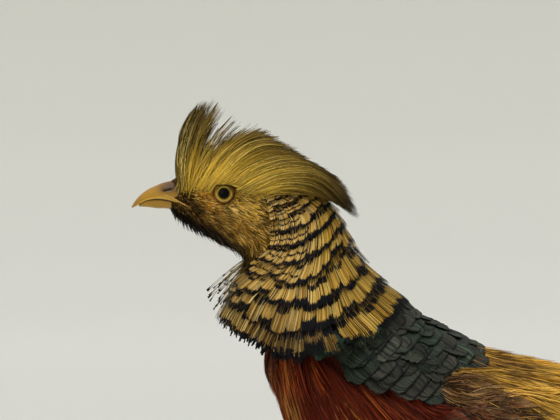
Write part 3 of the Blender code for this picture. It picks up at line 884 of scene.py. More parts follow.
def on_face(places):
    """Places in front of the cape, clear of the eye, the bill and the gape."""
    edge = np.interp(places[:, 2], BORDER_Z, BORDER_Y) + 2.6 * MM * (places[:, 2] < 0.295)
    flat = np.hypot(places[:, 1] - EYE_CENTRE[1], places[:, 2] - EYE_CENTRE[2])
    eye = (flat < 3.25 * MM) & (np.abs(places[:, 0]) > 7 * MM)
    bill = (places[:, 1] < -0.1668) & (places[:, 2] < 0.3075) & (places[:, 2] > 0.2985)
    gape = line_gap(places[:, 1], places[:, 2], GAPE) < 1.0 * MM
    return (places[:, 1] < edge) & (places[:, 2] > 0.2755) & ~eye & ~bill & ~gape


def face_lie(places, normals):
    """The lie on the face: as elsewhere, but turned away from the eye all round it."""
    way = lie_at(places, normals)
    away = places - np.array(EYE_CENTRE)
    away[:, 0] = 0
    flat = np.linalg.norm(away, axis=1, keepdims=True)
    turn = np.clip((6.2 * MM - flat) / (2.5 * MM), 0, 0.8) * (np.abs(places[:, :1]) > 7 * MM)
    return flatten(way * (1 - turn) + away / flat * turn, normals)


def grow_face(coat):
    """Small tufts over the face, chin and throat."""
    roots = spread_roots(form, on_face, 0.93 * MM, 11)
    rng = np.random.default_rng(12)
    count = len(roots)
    flat = np.hypot(roots[:, 1] - EYE_CENTRE[1], roots[:, 2] - EYE_CENTRE[2])
    front = ramp(roots[:, 1], -0.150, -0.016)
    length = (4.4 - 2.0 * front) * MM
    length = np.minimum(length, np.clip(flat - 2.2 * MM, 1.2 * MM, 9 * MM))
    throat = ramp(roots[:, 2], 0.290, -0.012)
    length = length * (1 + 0.5 * throat) * (0.8 + 0.4 * rng.random(count))
    turn = rng.normal(0, 0.24, count)
    ragged = peak(line_gap(roots[:, 1], roots[:, 2], CHIN), 0, 5 * MM)
    rise = 0.15 * MM + 2.4 * MM * np.maximum(throat, ragged) * rng.random(count) ** 2
    path, ways, ups = creep(form, roots, length, 4, 0.9 * MM, rise, turn, face_lie)
    base = face_colour(roots)
    clump = np.exp(rng.normal(0.04, 0.42, count))[:, None]
    # tufts round the eye painted lighter, to offset the painted shade at their feet
    clump = clump * (1 + 0.9 * peak(flat, 3.8 * MM, 0.9 * MM))[:, None]
    light = np.clip(base.sum(axis=1) * 2.2, 0, 1)
    pale = rng.random(count) < 0.16
    base = blend(base * clump, tint(216, 180, 96), pale * 0.6 * light)

    def paint(rng, locks, share):
        # some ribbons painted pale as highlights
        tone = blend(base, tint(236, 196, 104), (rng.random(locks) < 0.24) * 0.85 * light)
        # some ribbons painted dark as shade between tufts
        tone = blend(tone, tint(30, 19, 8), (rng.random(locks) < 0.26) * 0.9)
        tone = shaded(tone, rng, share, 0.42, 0.42)
        # tips lifted towards straw: a painted highlight
        lift = (share ** 2)[None, :, None] * 0.12
        return tone * (1 - lift) + STRAW * base.sum(axis=1)[:, None, None] * lift

    width = length * 0.26
    add_locks(coat, roots, path, ways, ups, 5, width, width * 0.25, paint, 13,
              ribbon=0.28 * MM, ragged=0.4, loft=0.16 * MM, narrow=0.5)
    print("face tufts", count)


# %% [markdown]
# ## The crest
# The crest is a fountain of silky golden hair-like feathers. They rise from the forehead and
# from a line over the eye, sweep up and back, and end in loose points over the nape. Lines
# that cross the fountain from front to back describe it in side view. A strand is a blend of
# two neighbouring lines, and strands are gathered in locks that close towards their tips.
# Hair curves would lose their shape on export, so each strand is a narrow ribbon.

# %% Lines of the crest
CREST_LINES = [  # place from front to back, then root, two points on the way and tip as (y, z)
    (0.0, (-0.1645, 0.3090), (-0.1650, 0.3204), (-0.1632, 0.3316), (-0.1590, 0.3398)),
    (0.1, (-0.1630, 0.3084), (-0.1620, 0.3204), (-0.1590, 0.3322), (-0.1545, 0.3426)),
    (0.2, (-0.1612, 0.3078), (-0.1586, 0.3200), (-0.1549, 0.3316), (-0.1483, 0.3430)),
    (0.3, (-0.1590, 0.3078), (-0.1546, 0.3196), (-0.1487, 0.3297), (-0.1409, 0.3390)),
    (0.4, (-0.1565, 0.3078), (-0.1504, 0.3192), (-0.1430, 0.3278), (-0.1346, 0.3342)),
    (0.5, (-0.1535, 0.3084), (-0.1453, 0.3194), (-0.1361, 0.3268), (-0.1268, 0.3300)),
    (0.6, (-0.1502, 0.3088), (-0.1399, 0.3190), (-0.1289, 0.3247), (-0.1159, 0.3233)),
    (0.7, (-0.1460, 0.3088), (-0.1340, 0.3174), (-0.1201, 0.3211), (-0.1050, 0.3161)),
    (0.8, (-0.1413, 0.3080), (-0.1281, 0.3150), (-0.1117, 0.3170), (-0.0955, 0.3090)),
    (0.9, (-0.1363, 0.3072), (-0.1218, 0.3130), (-0.1040, 0.3114), (-0.0895, 0.2955)),
    (1.0, (-0.1312, 0.3066), (-0.1197, 0.3090), (-0.1086, 0.3076), (-0.0978, 0.3007)),
    (1.1, (-0.1292, 0.3050), (-0.1237, 0.3056), (-0.1166, 0.3050), (-0.1075, 0.3040)),
]
CREST_WIDTHS = [  # y, top of the crest, half width of the crest
    (-0.1676, 0.3230, 0.0045), (-0.1650, 0.3310, 0.0080), (-0.1600, 0.3400, 0.0112),
    (-0.1530, 0.3435, 0.0138), (-0.1460, 0.3435, 0.0150), (-0.1350, 0.3370, 0.0160),
    (-0.1220, 0.3305, 0.0166), (-0.1100, 0.3230, 0.0156), (-0.1000, 0.3150, 0.0118),
    (-0.0930, 0.3070, 0.0070), (-0.0880, 0.2980, 0.0022)]
CREST_FOOT = 0.3070                 # height where the crest leaves the head


def crest_side(y, z, lean):
    """How far out a strand stands: full width low down, closing towards the ridge."""
    knots, tops, halves = (np.array(column) for column in zip(*CREST_WIDTHS))
    top = np.interp(y, knots, tops)
    half = np.interp(y, knots, halves)
    share = np.clip((z - CREST_FOOT) / (top - CREST_FOOT), 0, 1.15)
    over = ramp(share, 0.34, 0.80)
    return lean * half * np.sqrt(1 - over ** 2) * (1 - 0.30 * over)


def crest_strands(rng, locks, strands, steps):
    """Strands of the crest: positions, their place in the fountain and their lock."""
    knots = np.linspace(0, 1.08, 433)
    density = 0.55 + 0.9 * peak(knots, 0.08, 0.10) + 1.5 * (knots > 0.45)
    density -= 0.35 * peak(knots, 0.33, 0.07) + 1.0 * (knots > 1.0)
    total = np.cumsum(density)
    lock_at = np.interp(rng.random(locks) * total[-1], total, knots)
    lock_lean = rng.choice([-1.0, 1.0], locks) * (1 - rng.random(locks) ** 1.5)
    lock_reach = 1.0 - 0.48 * rng.random(locks) ** 1.4
    lock_reach *= np.where((lock_at > 0.24) & (lock_at < 0.42), 0.93, 1.0)
    lock = np.repeat(np.arange(locks), strands)
    count = len(lock)
    share = np.linspace(0, 1, steps)
    loose = ramp(lock_at[lock], 0.80, 0.12)[:, None]
    loose = np.maximum(loose, 1.3 * (rng.random(locks) < 0.14)[lock, None])
    close = 1 - (0.78 - loose) * share[None, :]
    spot = lock_at[lock][:, None] + rng.normal(0, 0.022, count)[:, None] * close
    spot = np.clip(spot, 0, 1.1)
    lean = lock_lean[lock][:, None] + rng.normal(0, 0.09, count)[:, None] * close
    lean = np.clip(lean, -1.03, 1.03)
    reach = lock_reach[lock] * (1 + rng.normal(0, 0.035, count))
    along = np.clip(reach[:, None] * share[None, :] + rng.normal(0, 0.012, count)[:, None]
                    * share[None, :], 0, 1.06)
    lines = np.array([line[1:] for line in CREST_LINES])
    table = through([line[0] for line in CREST_LINES], lines, spot)
    thirds = np.array([0.0, 1 / 3, 2 / 3, 1.0])
    weights = through(thirds, np.eye(4), np.clip(along, 0, 1))
    flat = (weights[..., None] * table).sum(axis=2)
    end = unit(lines[:, 3] - lines[:, 2])
    flat += np.maximum(along - 1, 0)[..., None] * 0.03 * through(
        [line[0] for line in CREST_LINES], end, spot)
    sway = rng.normal(0, 0.35 * MM, (count, 1)) * np.sin(share * math.pi * 1.5)[None, :]
    start = (1 - share[None, :]) ** 2
    scatter = rng.normal(0, 1.3 * MM, (count, 1))
    y = flat[..., 0] + sway + np.where(spot < 0.12, np.abs(scatter), scatter) * start
    z = flat[..., 1] + sway * 0.5 - np.abs(rng.normal(0, 1.5 * MM, (count, 1))) * start
    over_eye = np.abs(y - EYE_CENTRE[1]) < 5.0 * MM
    z = np.where(over_eye, np.maximum(z, EYE_CENTRE[2] + 3.7 * MM), z)
    x = crest_side(y, z, lean)
    return np.stack([x, y, z], axis=2), lock_at[lock], lock, reach


def grow_crest(coat, seed, locks, strands, steps, finest, coarsest):
    """Several thousand strands in some hundred locks."""
    rng = np.random.default_rng(seed)
    path, spot, lock, reach = crest_strands(rng, locks, strands, steps)
    count, rows = path.shape[:2]
    share = np.linspace(0, 1, rows)
    ways = unit(np.gradient(path, axis=1))
    out = np.zeros_like(path)
    out[..., 0] = np.sign(path[..., 0]) + 1e-3
    out[..., 2] = 0.35
    across = unit(np.cross(ways, unit(out)))
    roll = rng.normal(0, 0.6, count)[:, None, None]
    flat = unit(across + np.cross(ways, across) * roll)
    thin = rng.uniform(finest, coarsest, count)[:, None, None]
    taper = (1 - 0.70 * share ** 2)[None, :, None]
    low = ramp(path[..., 2], 0.309, 0.018)
    back = ramp(path[..., 1], -0.150, 0.055)
    tone = blend(tint(246, 200, 70), tint(130, 102, 30), low * (1 - back))
    tone = blend(tone, tint(54, 38, 10), back)
    front = peak(spot, 0.04, 0.13)[:, None]
    tone = blend(tone, tint(50, 39, 18), front * 0.9)
    ends = (share ** 2.0)[None, :] * reach[:, None]
    tone = blend(tone, tint(60, 45, 22), ends * 0.8)
    lock_light = np.exp(rng.normal(-0.04, 0.40, lock.max() + 1))[lock]
    mixed = 0.46 + 0.34 * peak(spot, 0.04, 0.12)
    light = np.minimum(lock_light * np.exp(rng.normal(0, 1, count) * mixed), 1.35)
    # some strands painted pale straw as highlights
    straw = (rng.random(count) < 0.22)[:, None] * 0.70
    tone = blend(tone, tint(222, 198, 112), straw * (1 - ends * 0.8) * (1 - 0.6 * back))
    # some strands painted dark as shade in the gaps between them
    dusk = (rng.random(count) < 0.16)[:, None] * (0.75 * low + 0.1)
    tone = blend(tone, tint(46, 35, 15), dusk)
    tone = kept_hue(tone * light[:, None, None])
    # strands darker towards their roots: painted shade where they leave the head
    tone = tone * (0.55 + 0.45 * ramp(share, 0, 0.25))[None, :, None]
    lot = rng.random((count, 1, 1))
    inner = rng.random((count, 1, 1)) + STRIP_WIDTH
    add_strips(coat, path, flat * thin * taper / 2, tone, share, path[:, 0], inner, lot)
    print("crest strands", count)


# %% [markdown]
# ## The barred cape
# The cape is a shawl of stiff, square-tipped feathers that fans from the nape over both
# sides of the neck. Every feather is a comb of parted gold barbs with a black bar at its tip
# and another above it, and the rows line up, so the bars run round the neck as broken arcs.
# The rows are tabled in side view, wrapped round the neck's form, and every barb group is
# its own narrow strip, so the comb edge and the dark gaps are real, with dusk-brown strips
# painted in as more shade between them.

# %% Rows of the cape
CAPE_ROWS = [  # row, angle where it starts (0 is the breast), half width, five (y, z) places
    (0, 90, 0.0165, ((-0.1285, 0.3065), (-0.1268, 0.3074), (-0.1252, 0.3086),
                     (-0.1231, 0.3103), (-0.1205, 0.3120))),
    (2, 90, 0.0170, ((-0.1264, 0.2973), (-0.1222, 0.2990), (-0.1176, 0.3006),
                     (-0.1134, 0.3032), (-0.1100, 0.3074))),
    (4, 85, 0.0190, ((-0.1260, 0.2901), (-0.1193, 0.2910), (-0.1130, 0.2931),
                     (-0.1071, 0.2973), (-0.1025, 0.3023))),
    (6, 55, 0.0240, ((-0.1277, 0.2826), (-0.1201, 0.2813), (-0.1121, 0.2830),
                     (-0.1042, 0.2876), (-0.0979, 0.2956))),
    (8, 15, 0.0310, ((-0.1361, 0.2738), (-0.1247, 0.2700), (-0.1130, 0.2700),
                     (-0.1016, 0.2750), (-0.0932, 0.2843))),
    (10, 0, 0.0370, ((-0.1415, 0.2658), (-0.1260, 0.2607), (-0.1113, 0.2595),
                     (-0.0966, 0.2645), (-0.0848, 0.2746))),
    (11, 0, 0.0400, ((-0.1453, 0.2603), (-0.1294, 0.2523), (-0.1126, 0.2490),
                     (-0.0945, 0.2549), (-0.0773, 0.2670))),
    (12, 0, 0.0430, ((-0.1483, 0.2536), (-0.1344, 0.2431), (-0.1126, 0.2376),
                     (-0.0882, 0.2456), (-0.0680, 0.2591))),
]
CAPE_LAST = 12.0
CAPE_GRID = (73, 121)
TIP_ROWS = [-1.1, -0.3, 0.5, 1.3, 2.1, 3.1, 4.5, 5.75, 7.0, 8.25, 9.95, 11.0, 12.0, 12.9]


def cape_chart():
    """Wrap the tabled rows round the form: places and normals on a fine grid, left side."""
    rows = [row[0] for row in CAPE_ROWS]
    n, s = np.meshgrid(np.linspace(0, CAPE_LAST, CAPE_GRID[0]),
                       np.linspace(0, 1, CAPE_GRID[1]), indexing="ij")
    start = np.radians(np.interp(n, rows, [row[1] for row in CAPE_ROWS]))
    half = np.interp(n, rows, [row[2] for row in CAPE_ROWS])
    angle = start + (math.pi - start) * s
    q = (np.cos(start) - np.cos(angle)) / (np.cos(start) + 1)
    table = through(rows, np.array([row[3] for row in CAPE_ROWS]), n)
    weights = through(np.linspace(0, 1, 5), np.eye(5), q)
    flat = (weights[..., None] * table).sum(axis=2)
    places = np.concatenate([(half * np.sin(angle))[..., None], flat], axis=2)
    near, normals = form.touch(places.reshape(-1, 3))
    near = near.reshape(places.shape)
    normals = normals.reshape(places.shape)
    for _ in range(3):
        for value in (near, normals):
            inner = value[1:-1, 1:-1]
            value[1:-1, 1:-1] = inner * 0.4 + 0.15 * (
                value[:-2, 1:-1] + value[2:, 1:-1] + value[1:-1, :-2] + value[1:-1, 2:])
    return near, unit(normals)


CAPE_AT, CAPE_OUT = cape_chart()


def on_cape(n, s, side):
    """Places and normals on the cape; n is the row, s runs from breast to nape."""
    high, wide = CAPE_GRID
    i = np.clip(n / CAPE_LAST, 0, 1) * (high - 1)
    j = np.clip(s, 0, 1) * (wide - 1)
    i0 = np.clip(i.astype(int), 0, high - 2)
    j0 = np.clip(j.astype(int), 0, wide - 2)
    a = (i - i0)[..., None]
    b = (j - j0)[..., None]
    found = []
    for grid in (CAPE_AT, CAPE_OUT):
        value = ((grid[i0, j0] * (1 - b) + grid[i0, j0 + 1] * b) * (1 - a)
                 + (grid[i0 + 1, j0] * (1 - b) + grid[i0 + 1, j0 + 1] * b) * a)
        value = value.copy()
        value[..., 0] *= side
        found.append(value)
    return found[0], unit(found[1])


ROW_GIRTH = np.linalg.norm(np.diff(CAPE_AT, axis=1), axis=2).sum(axis=1)
print("cape girth, one side, mm", np.round(ROW_GIRTH[[0, 24, 48, 72]] / MM, 1))


# %% Grow the cape
def cape_gold(rng, count):
    """Barb groups run from pale straw through tan gold to burnt orange; the dusk-brown ones are
    painted shade in the gaps.
    """
    # the last kind, dusk brown, is painted shade standing for the gaps between barbs
    kinds = np.array([tint(194, 158, 84), tint(214, 188, 124), tint(180, 138, 54),
                      tint(142, 102, 42), tint(66, 50, 30)])
    return kinds[rng.choice(5, count, p=[0.40, 0.16, 0.22, 0.12, 0.10])]


def row_place(r):
    """Where feather row r falls on the chart; rows 0 to 10 end in view."""
    return np.interp(r, np.arange(-2, len(TIP_ROWS) - 2), TIP_ROWS)


def cape_strips(rng, row, fill):
    """One row of strips: place along the row, feather, place in the feather, width."""
    n = row_place(row)
    girth = np.interp(n, np.linspace(0, CAPE_LAST, CAPE_GRID[0]), ROW_GIRTH)
    feather = np.interp(n, [1, 12], [3.2 * MM, 7.6 * MM])
    pitch = np.interp(n, [1, 12], [0.20 * MM, 0.28 * MM])
    count = int(girth / pitch * fill)
    s = (np.arange(count) + rng.random(count)) / count
    run = s * girth / feather + rng.random()
    return s, np.floor(run).astype(int), 2 * (run % 1.0) - 1, pitch


def cape_row(coat, rng, row, side):
    """One row of feathers on one side; returns how many strips it has."""
    s, vane, u, pitch = cape_strips(rng, row, 1.75)
    rim = (row == 10) & (s < 0.5)
    keep = ~rim | (rng.random(len(s)) < 0.55)
    keep &= (row < 10) | (np.abs(s - 0.610) > 0.008)
    s, vane, u, rim = s[keep], vane[keep], u[keep], rim[keep]
    count, vanes = len(s), vane.max() + 1
    slip = rng.normal(0, 0.085, vanes)[vane]
    slip = np.where(rng.random(vanes)[vane] < 0.07, slip - 0.38, slip)
    tip = row + slip + rng.normal(0, 0.03, count) - 0.13 * np.abs(u) ** 3
    tip = np.where(rim, 10.0 + rng.uniform(-0.15, 0.22, count), np.minimum(tip, 10.05))
    span = 1.75 + 0.3 * rng.random(count)
    band = 0.36 * (0.60 + 0.40 * s) * rng.uniform(0.7, 1.25, vanes)[vane]
    thick = 1.25 + 0.5 * (row == 10) * ramp(s, 0.26, 0.1)
    band = band * np.where((row >= 9) & (s < 0.62), thick, 0.85)
    band = np.where(rim, np.interp(s, [0, 0.25, 0.5], [0.16, 0.26, 0.34]), band)
    band = band * rng.uniform(0.85, 1.15, count)
    second = 0.98 - 0.6 * slip - 0.55 * band
    middle = 0.47 + 0.55 * band
    high = second + 1.1 * band
    gap = np.stack([span, high + 0.02, high - 0.02, second + 0.02, second - 0.02, middle + 0.02,
                    middle - 0.02, 0 * s + 0.49, 0 * s + 0.45, band + 0.02, band - 0.02,
                    0 * s], axis=1)
    gap = -np.sort(-gap, axis=1)
    share = 1 - gap / span[:, None]
    n = row_place(tip[:, None] - gap)
    drift = rng.normal(0, 0.007, vanes)[vane] + rng.normal(0, 0.0024, count)
    along = s[:, None] + drift[:, None] * (share - 0.5)
    place, out = on_cape(np.clip(n, 0, CAPE_LAST), along, side)
    top = unit(on_cape(np.full_like(n, 0.4), along, side)[0]
               - on_cape(np.zeros_like(n), along, side)[0])
    low = unit(on_cape(np.full_like(n, 12.0), along, side)[0]
               - on_cape(np.full_like(n, 11.6), along, side)[0])
    place += top * np.minimum(n, 0)[..., None] * 3.5 * MM
    place += low * np.maximum(n - CAPE_LAST, 0)[..., None] * 10 * MM
    lift = -2.4 * MM + (3.2 * MM + 0.35 * MM * rng.random(count)[:, None]) * share ** 0.7
    lift = lift + rng.normal(0, 0.22 * MM, vanes)[vane][:, None] * share
    loose = np.where(rim, rng.normal(0.2 * MM, 0.5 * MM, count), 0)
    place += out * (lift + loose[:, None] * share)[..., None]
    ways = unit(np.gradient(place, axis=1))
    across = unit(np.cross(ways, out))
    half = pitch * rng.uniform(0.60, 1.0, count)[:, None] / 2
    half = np.where(rim[:, None], 0.20 * MM, half)
    end = ramp(share, 0.88, 0.12)
    half = half * np.where(rim[:, None], 1 + 1.2 * (gap < band[:, None]), 1 - 0.45 * end)
    group = (s / s.max() * count / 1.8).astype(int)
    groups = group.max() + 1
    base = cape_gold(rng, groups)[group] * np.exp(rng.normal(0, 0.22, groups))[group, None]
    base = base * np.exp(rng.normal(0, 0.12, vanes))[vane, None]
    golden = ramp(s, 0.45, 0.15)[:, None]
    base = base * (1 - golden * np.array([0.06, 0.10, 0.42]))
    low_side = ramp(s, 0.66, -0.08) * ramp(s, 0.26, 0.1)
    hem = low_side * {10: 0.75, 9: 0.35}.get(row, 0.0)
    base = blend(base, tint(80, 58, 30), hem)
    # each feather's outer strips painted darker: shade where neighbouring feathers meet
    base = base * (np.exp(rng.normal(0, 0.26, count)) * (1 - 0.5 * np.abs(u) ** 6))[:, None]
    base = base * np.interp(row, [3, 7, 10], [1.0, 0.93, 0.84]) * np.where(rim, 0.82, 1)[:, None]
    shade = 0.35 + 0.65 * np.clip(1.35 - gap, 0, 1) ** 0.7
    tone = kept_hue(base[:, None, :] * shade[..., None], 0.62)
    faded = (rng.random(vanes) < 0.08)[vane] & ~rim
    bar = (gap < band[:, None]) & ~faded[:, None]
    bar |= (gap > second[:, None]) & (gap < high[:, None]) & (
        rng.random(count) < 0.85)[:, None]
    extra = (rng.random(vanes) < 0.85)[vane] & (s < 0.42) & (row < 8)
    bar |= (gap > 0.47) & (gap < middle[:, None]) & extra[:, None]
    tone = np.where(bar[..., None], CAPE_BLACK, tone)
    inner = (np.arange(count) % 7 / 7 + 0.07)[:, None, None] + np.array([-0.05, 0.05])
    add_strips(coat, place, across * half[..., None], tone, share, place[:, -1], inner,
               rng.random((count, 1, 1)))
    return count


def grow_cape(coat, rows, seed):
    """Rows of feathers on each side, each feather a comb of strips."""
    rng = np.random.default_rng(seed)
    total = 0
    for row in rows:
        for side in (-1.0, 1.0):
            total += cape_row(coat, rng, row, side)
    print("cape strips", total)


def grow_throat_wisps(coat):
    """Loose dark strands with black tips that spring forward under the throat."""
    rng = np.random.default_rng(35)
    count = 90
    share = np.linspace(0, 1, 12)
    fall = rng.random(count) ** 0.8
    start = np.stack([rng.uniform(-10, 2, count) * MM,
                      -0.1330 + rng.normal(0, 1.2, count) * MM - 0.003 * fall,
                      0.2805 - 10 * fall * MM - rng.uniform(0, 2, count) * MM], axis=1)
    long = rng.uniform(9, 26, count) * MM * (1 - 0.35 * fall)
    heading = np.radians(204 + 42 * fall + rng.normal(0, 3, count))
    way = np.stack([rng.normal(-0.08, 0.10, count), np.cos(heading), np.sin(heading)], axis=1)
    path = start[:, None, :] + unit(way)[:, None, :] * (long[:, None] * share)[..., None]
    path[..., 2] -= (long[:, None] * 0.16 * share ** 2)
    path[..., 2] += (rng.normal(0, 0.04, count) * long)[:, None] * np.sin(share * 3)
    side = np.cross(unit(np.gradient(path, axis=1)), np.array([1.0, 0.0, 0.0]))
    thin = 0.14 * MM * (1 - 0.5 * share) + 0.30 * MM * ramp(share, 0.9, 0.1)
    tone = np.tile(tint(150, 126, 70), (count, 12, 1)) * (0.5 + 0.6 * rng.random((count, 1, 1)))
    tone = tone * (1 - 0.95 * ramp(share, 0.84, 0.08))[None, :, None]
    inner = np.array([0.4, 0.6])
    add_strips(coat, path, unit(side) * thin[None, :, None], tone, share, start, inner)


# %% [markdown]
# ## The mantle, breast, belly and rump
# The mantle is a patch of dark green scales with black rims. The breast and belly are long
# silky mahogany feathers with paler streaks in front. The rump and back are loose gold. Scales
# are vanes, the others are locks; both come from the same roots-and-paths tools.

# %% The wing's form
WINGS = ["wing_left", "wing_right"]
SCAPULARS = ["scapulars_left", "scapulars_right"]
wing_form = Surface(joined_form(FLESH + WINGS + SCAPULARS + TAIL_NODES + COVERTS,
                                2.0 * MM, 6))
WING_ROWS = np.array([  # y, centre x, centre z, half height, half thickness, lean
    (-0.068, .0420, .2030, .004, .0030, .12), (-0.060, .0455, .2030, .015, .0070, .10),
    (-0.035, .0490, .2010, .026, .0085, .08), (0.000, .0490, .1975, .030, .0085, .08),
    (0.035, .0455, .1930, .027, .0080, .10), (0.065, .0405, .1880, .021, .0060, .12),
    (0.095, .0360, .1835, .014, .0030, .12), (0.120, .0345, .1805, .007, .0016, .10),
    (0.132, .0340, .1795, .002, .0008, .10)])
SHOULDER_LOW = np.array([(-0.058, .229), (-0.048, .219), (-0.025, .208), (0.005, .1995),
                         (0.035, .195), (0.062, .1945)])
SHOULDER_HIGH = np.array([(-0.058, .231), (-0.048, .2275), (-0.025, .2140), (0.005, .2045),
                          (0.035, .2005), (0.062, .1980)])


# %% Where each tract lies


def clear_of_cape(places, margin):
    """Places behind or below the cape's rim, with a margin that stays under it."""
    rim = np.array(CAPE_ROWS[-1][3])
    edge = np.interp(places[:, 1], rim[:, 0], rim[:, 1])
    return (places[:, 2] < edge + margin) | (places[:, 1] > rim[-1, 0] - margin)


def on_mantle(places):
    """The scaled patch between the cape and the gold back."""
    lifted = 5 * MM * ramp(places[:, 1], -0.085, 0.02)
    above = places[:, 2] > mantle_floor(places) - 0.001 + lifted
    place = above & (places[:, 1] > -0.108) & (places[:, 1] < MANTLE_BACK - 0.015)
    return place & clear_of_cape(places, 11 * MM)


def on_rump(places):
    """The gold back, rump and the roots over the tail."""
    over_wing = np.interp(places[:, 1], SHOULDER_HIGH[:, 0], SHOULDER_HIGH[:, 1]) - 0.001
    floor = np.where(places[:, 1] < SHOULDER_HIGH[-1, 0], over_wing, rump_floor(places) - 0.004)
    floor = np.where(places[:, 1] > 0.055, np.maximum(floor, 0.2035), floor)
    return ((places[:, 2] > floor) & (places[:, 1] > MANTLE_BACK - 0.020)
            & (places[:, 1] < 0.108)
            & (np.abs(places[:, 0]) < np.interp(
                places[:, 1], [0.0, 0.03, 0.09], [0.058, 0.045, 0.028])))


BREAST_END = -0.030                 # the breast coat ends here and the belly coat begins


def on_breast(places):
    """The fore part of the red under side, down to the legs."""
    margin = np.where(places[:, 1] < -0.080, 9 * MM, 4 * MM)
    below = places[:, 2] < mantle_floor(places) - margin
    below &= (places[:, 1] < BREAST_END) & (places[:, 1] > -0.1295)
    return below & clear_of_cape(places, 0.5 * MM)


def on_belly(places):
    """The hind part of the red under side, thighs left out."""
    below = places[:, 2] < np.minimum(rump_floor(places) - 0.004, mantle_floor(places))
    thigh = (places[:, 2] < 0.133) & (np.abs(places[:, 0]) > 0.012)
    return below & (places[:, 1] >= BREAST_END) & (places[:, 1] < 0.105) & ~thigh


# %% Grow the mantle scales
def grow_mantle(coat):
    """Overlapping flat scales, slate green, each with a thin black rim."""
    roots = spread_roots(form, on_mantle, 5.4 * MM, 41)
    rng = np.random.default_rng(42)
    roots = roots[np.argsort(-roots[:, 1])]
    count = len(roots)
    back = ramp(roots[:, 1], -0.100, 0.065)
    length = (13.0 + 5.0 * back) * MM * (0.9 + 0.2 * rng.random(count))
    path, ways, ups = creep(form, roots, length, 7, 2.2 * MM, 0.5 * MM,
                            rng.normal(0, 0.10, count))
    width = (14.0 + 4.0 * back) * MM * (0.85 + 0.3 * rng.random(count))
    green = rng.random(count)
    base = blend(tint(38, 38, 31), tint(27, 42, 30), np.clip(green * 1.6 - 0.5, 0, 1) * (
        1 - 0.7 * back))
    base = base * np.exp(rng.normal(0, 0.26, count))[:, None]

    def paint(rng, vanes, share, u):
        half = width[:, None] / 2 * vane_outline(share, 3.0, 0.6)[None, :]
        from_side = half[:, :, None] * (1 - np.abs(u))[None, None, :]
        from_tip = length[:, None, None] * (1 - share)[None, :, None]
        rim = np.clip((1.0 * MM - np.minimum(from_side * 1.9, from_tip)) / (0.4 * MM), 0, 1)
        rim = rim * ramp(share, 0.6, 0.15)[None, :, None]
        shaft = peak(u, 0, 0.05)[None, None, :, None] * 0.5
        # some barbs darkened where the vane splits: painted shade seen through the splits
        split_shade = (rng.random((vanes, 1, len(u))) < 0.24) * np.clip(share / 0.4 - 0.4, 0, 1)[:, None]
        # scales darker towards the foot: painted shade under the scales above
        root = (0.45 + 0.55 * ramp(share, 0, 0.75))[None, :, None, None]
        barbs = np.exp(rng.normal(0, 0.26, (vanes, 1, len(u), 1)))
        tone = base[:, None, None, :] * barbs * (1 - shaft) * root
        return blend(tone * (1 - 0.7 * split_shade[..., None]), tint(7, 8, 9), rim)

    add_vanes(coat, roots, path, ways, ups, width, paint, 43, columns=23, square=3.0,
              stem=0.6, camber=0.03, ragged=0.05, rows=16, fanned=True)
    print("mantle scales", count)


# %% Grow the breast and belly
def red_paint(roots, rng):
    """Mahogany, darker below and behind, streaked with fox and amber in front."""
    count = len(roots)
    front = ramp(roots[:, 1], -0.110, -0.018)
    tone = blend(MAHOGANY, DEEP_MAROON, rng.random(count) * 0.55)
    fox = (rng.random(count) < 0.10 + 0.34 * front) * rng.uniform(0.3, 1.0, count)
    tone = blend(tone, FOX, fox)
    amber = (rng.random(count) < 0.01 + 0.34 * front) * rng.uniform(0.4, 0.95, count)
    tone = blend(tone, AMBER, amber)
    rear = ramp(roots[:, 1], 0.01, 0.05) * 0.45
    return blend(tone, tint(120, 62, 30), rear)


def grow_silk(coat, surface, wanted, spacing, seed, measure, colour, steps, sink, rise, sway,
              strands, wide, fan, ribbon, ragged, loft, narrow, shade, pale=0.0):
    """Cover a tract with silky locks.

    Measure and colour say how long each lock is and what tone it has. Wide and fan are its
    width at the foot and what it gains to the tip, as shares of its length.
    """
    roots = spread_roots(surface, wanted, spacing, seed)
    rng = np.random.default_rng(seed + 1)
    count = len(roots)
    length = measure(roots, rng)
    if callable(rise):
        rise = rise(roots)
    path, ways, ups = creep(surface, roots, length, steps, sink, rise,
                            rng.normal(0, sway, count))
    base = colour(roots, rng)

    def paint(rng, locks, share):
        tone = base
        if pale:
            bright = rng.random(locks) < pale
            tone = np.where(bright[:, None], base * 1.8 + 0.01, base)
        return shaded(tone, rng, share, *shade)

    add_locks(coat, roots, path, ways, ups, strands, length * wide, length * fan, paint,
              seed + 2, ribbon, ragged, loft, narrow)
    print(coat.name, "locks", count)


def between(low, high):
    """Lengths drawn evenly between two values in millimetres."""
    return lambda roots, rng: rng.uniform(low, high, len(roots)) * MM


def mixed(first, second, power=1):
    """Tones drawn between two colours; a higher power keeps more near the first."""
    return lambda roots, rng: blend(first, second, rng.random(len(roots)) ** power)


def grow_red(coat, wanted, spacing, strands, seed, long=26 * MM, ribbon=0.5 * MM):
    """Long silky locks over a red tract, shorter on the neck."""
    def measure(roots, rng):
        neck = ramp(roots[:, 2], 0.235, 0.02)
        return long * (0.75 + 0.5 * rng.random(len(roots))) * (1 - 0.35 * neck)

    grow_silk(coat, form, wanted, spacing, seed, measure, red_paint, steps=6, sink=3.2 * MM,
              rise=0.1 * MM, sway=0.08, strands=strands, wide=0.16, fan=0.04, ribbon=ribbon,
              ragged=0.35, loft=0.30 * MM, narrow=0.35, shade=(0.34, 0.35, 0.10), pale=0.05)


def under_rim(places):
    """The hollow below the cape's front edge."""
    return ((places[:, 1] < -0.1250) & (places[:, 1] > -0.150) & (places[:, 2] > 0.2300)
            & clear_of_cape(places, 1 * MM))


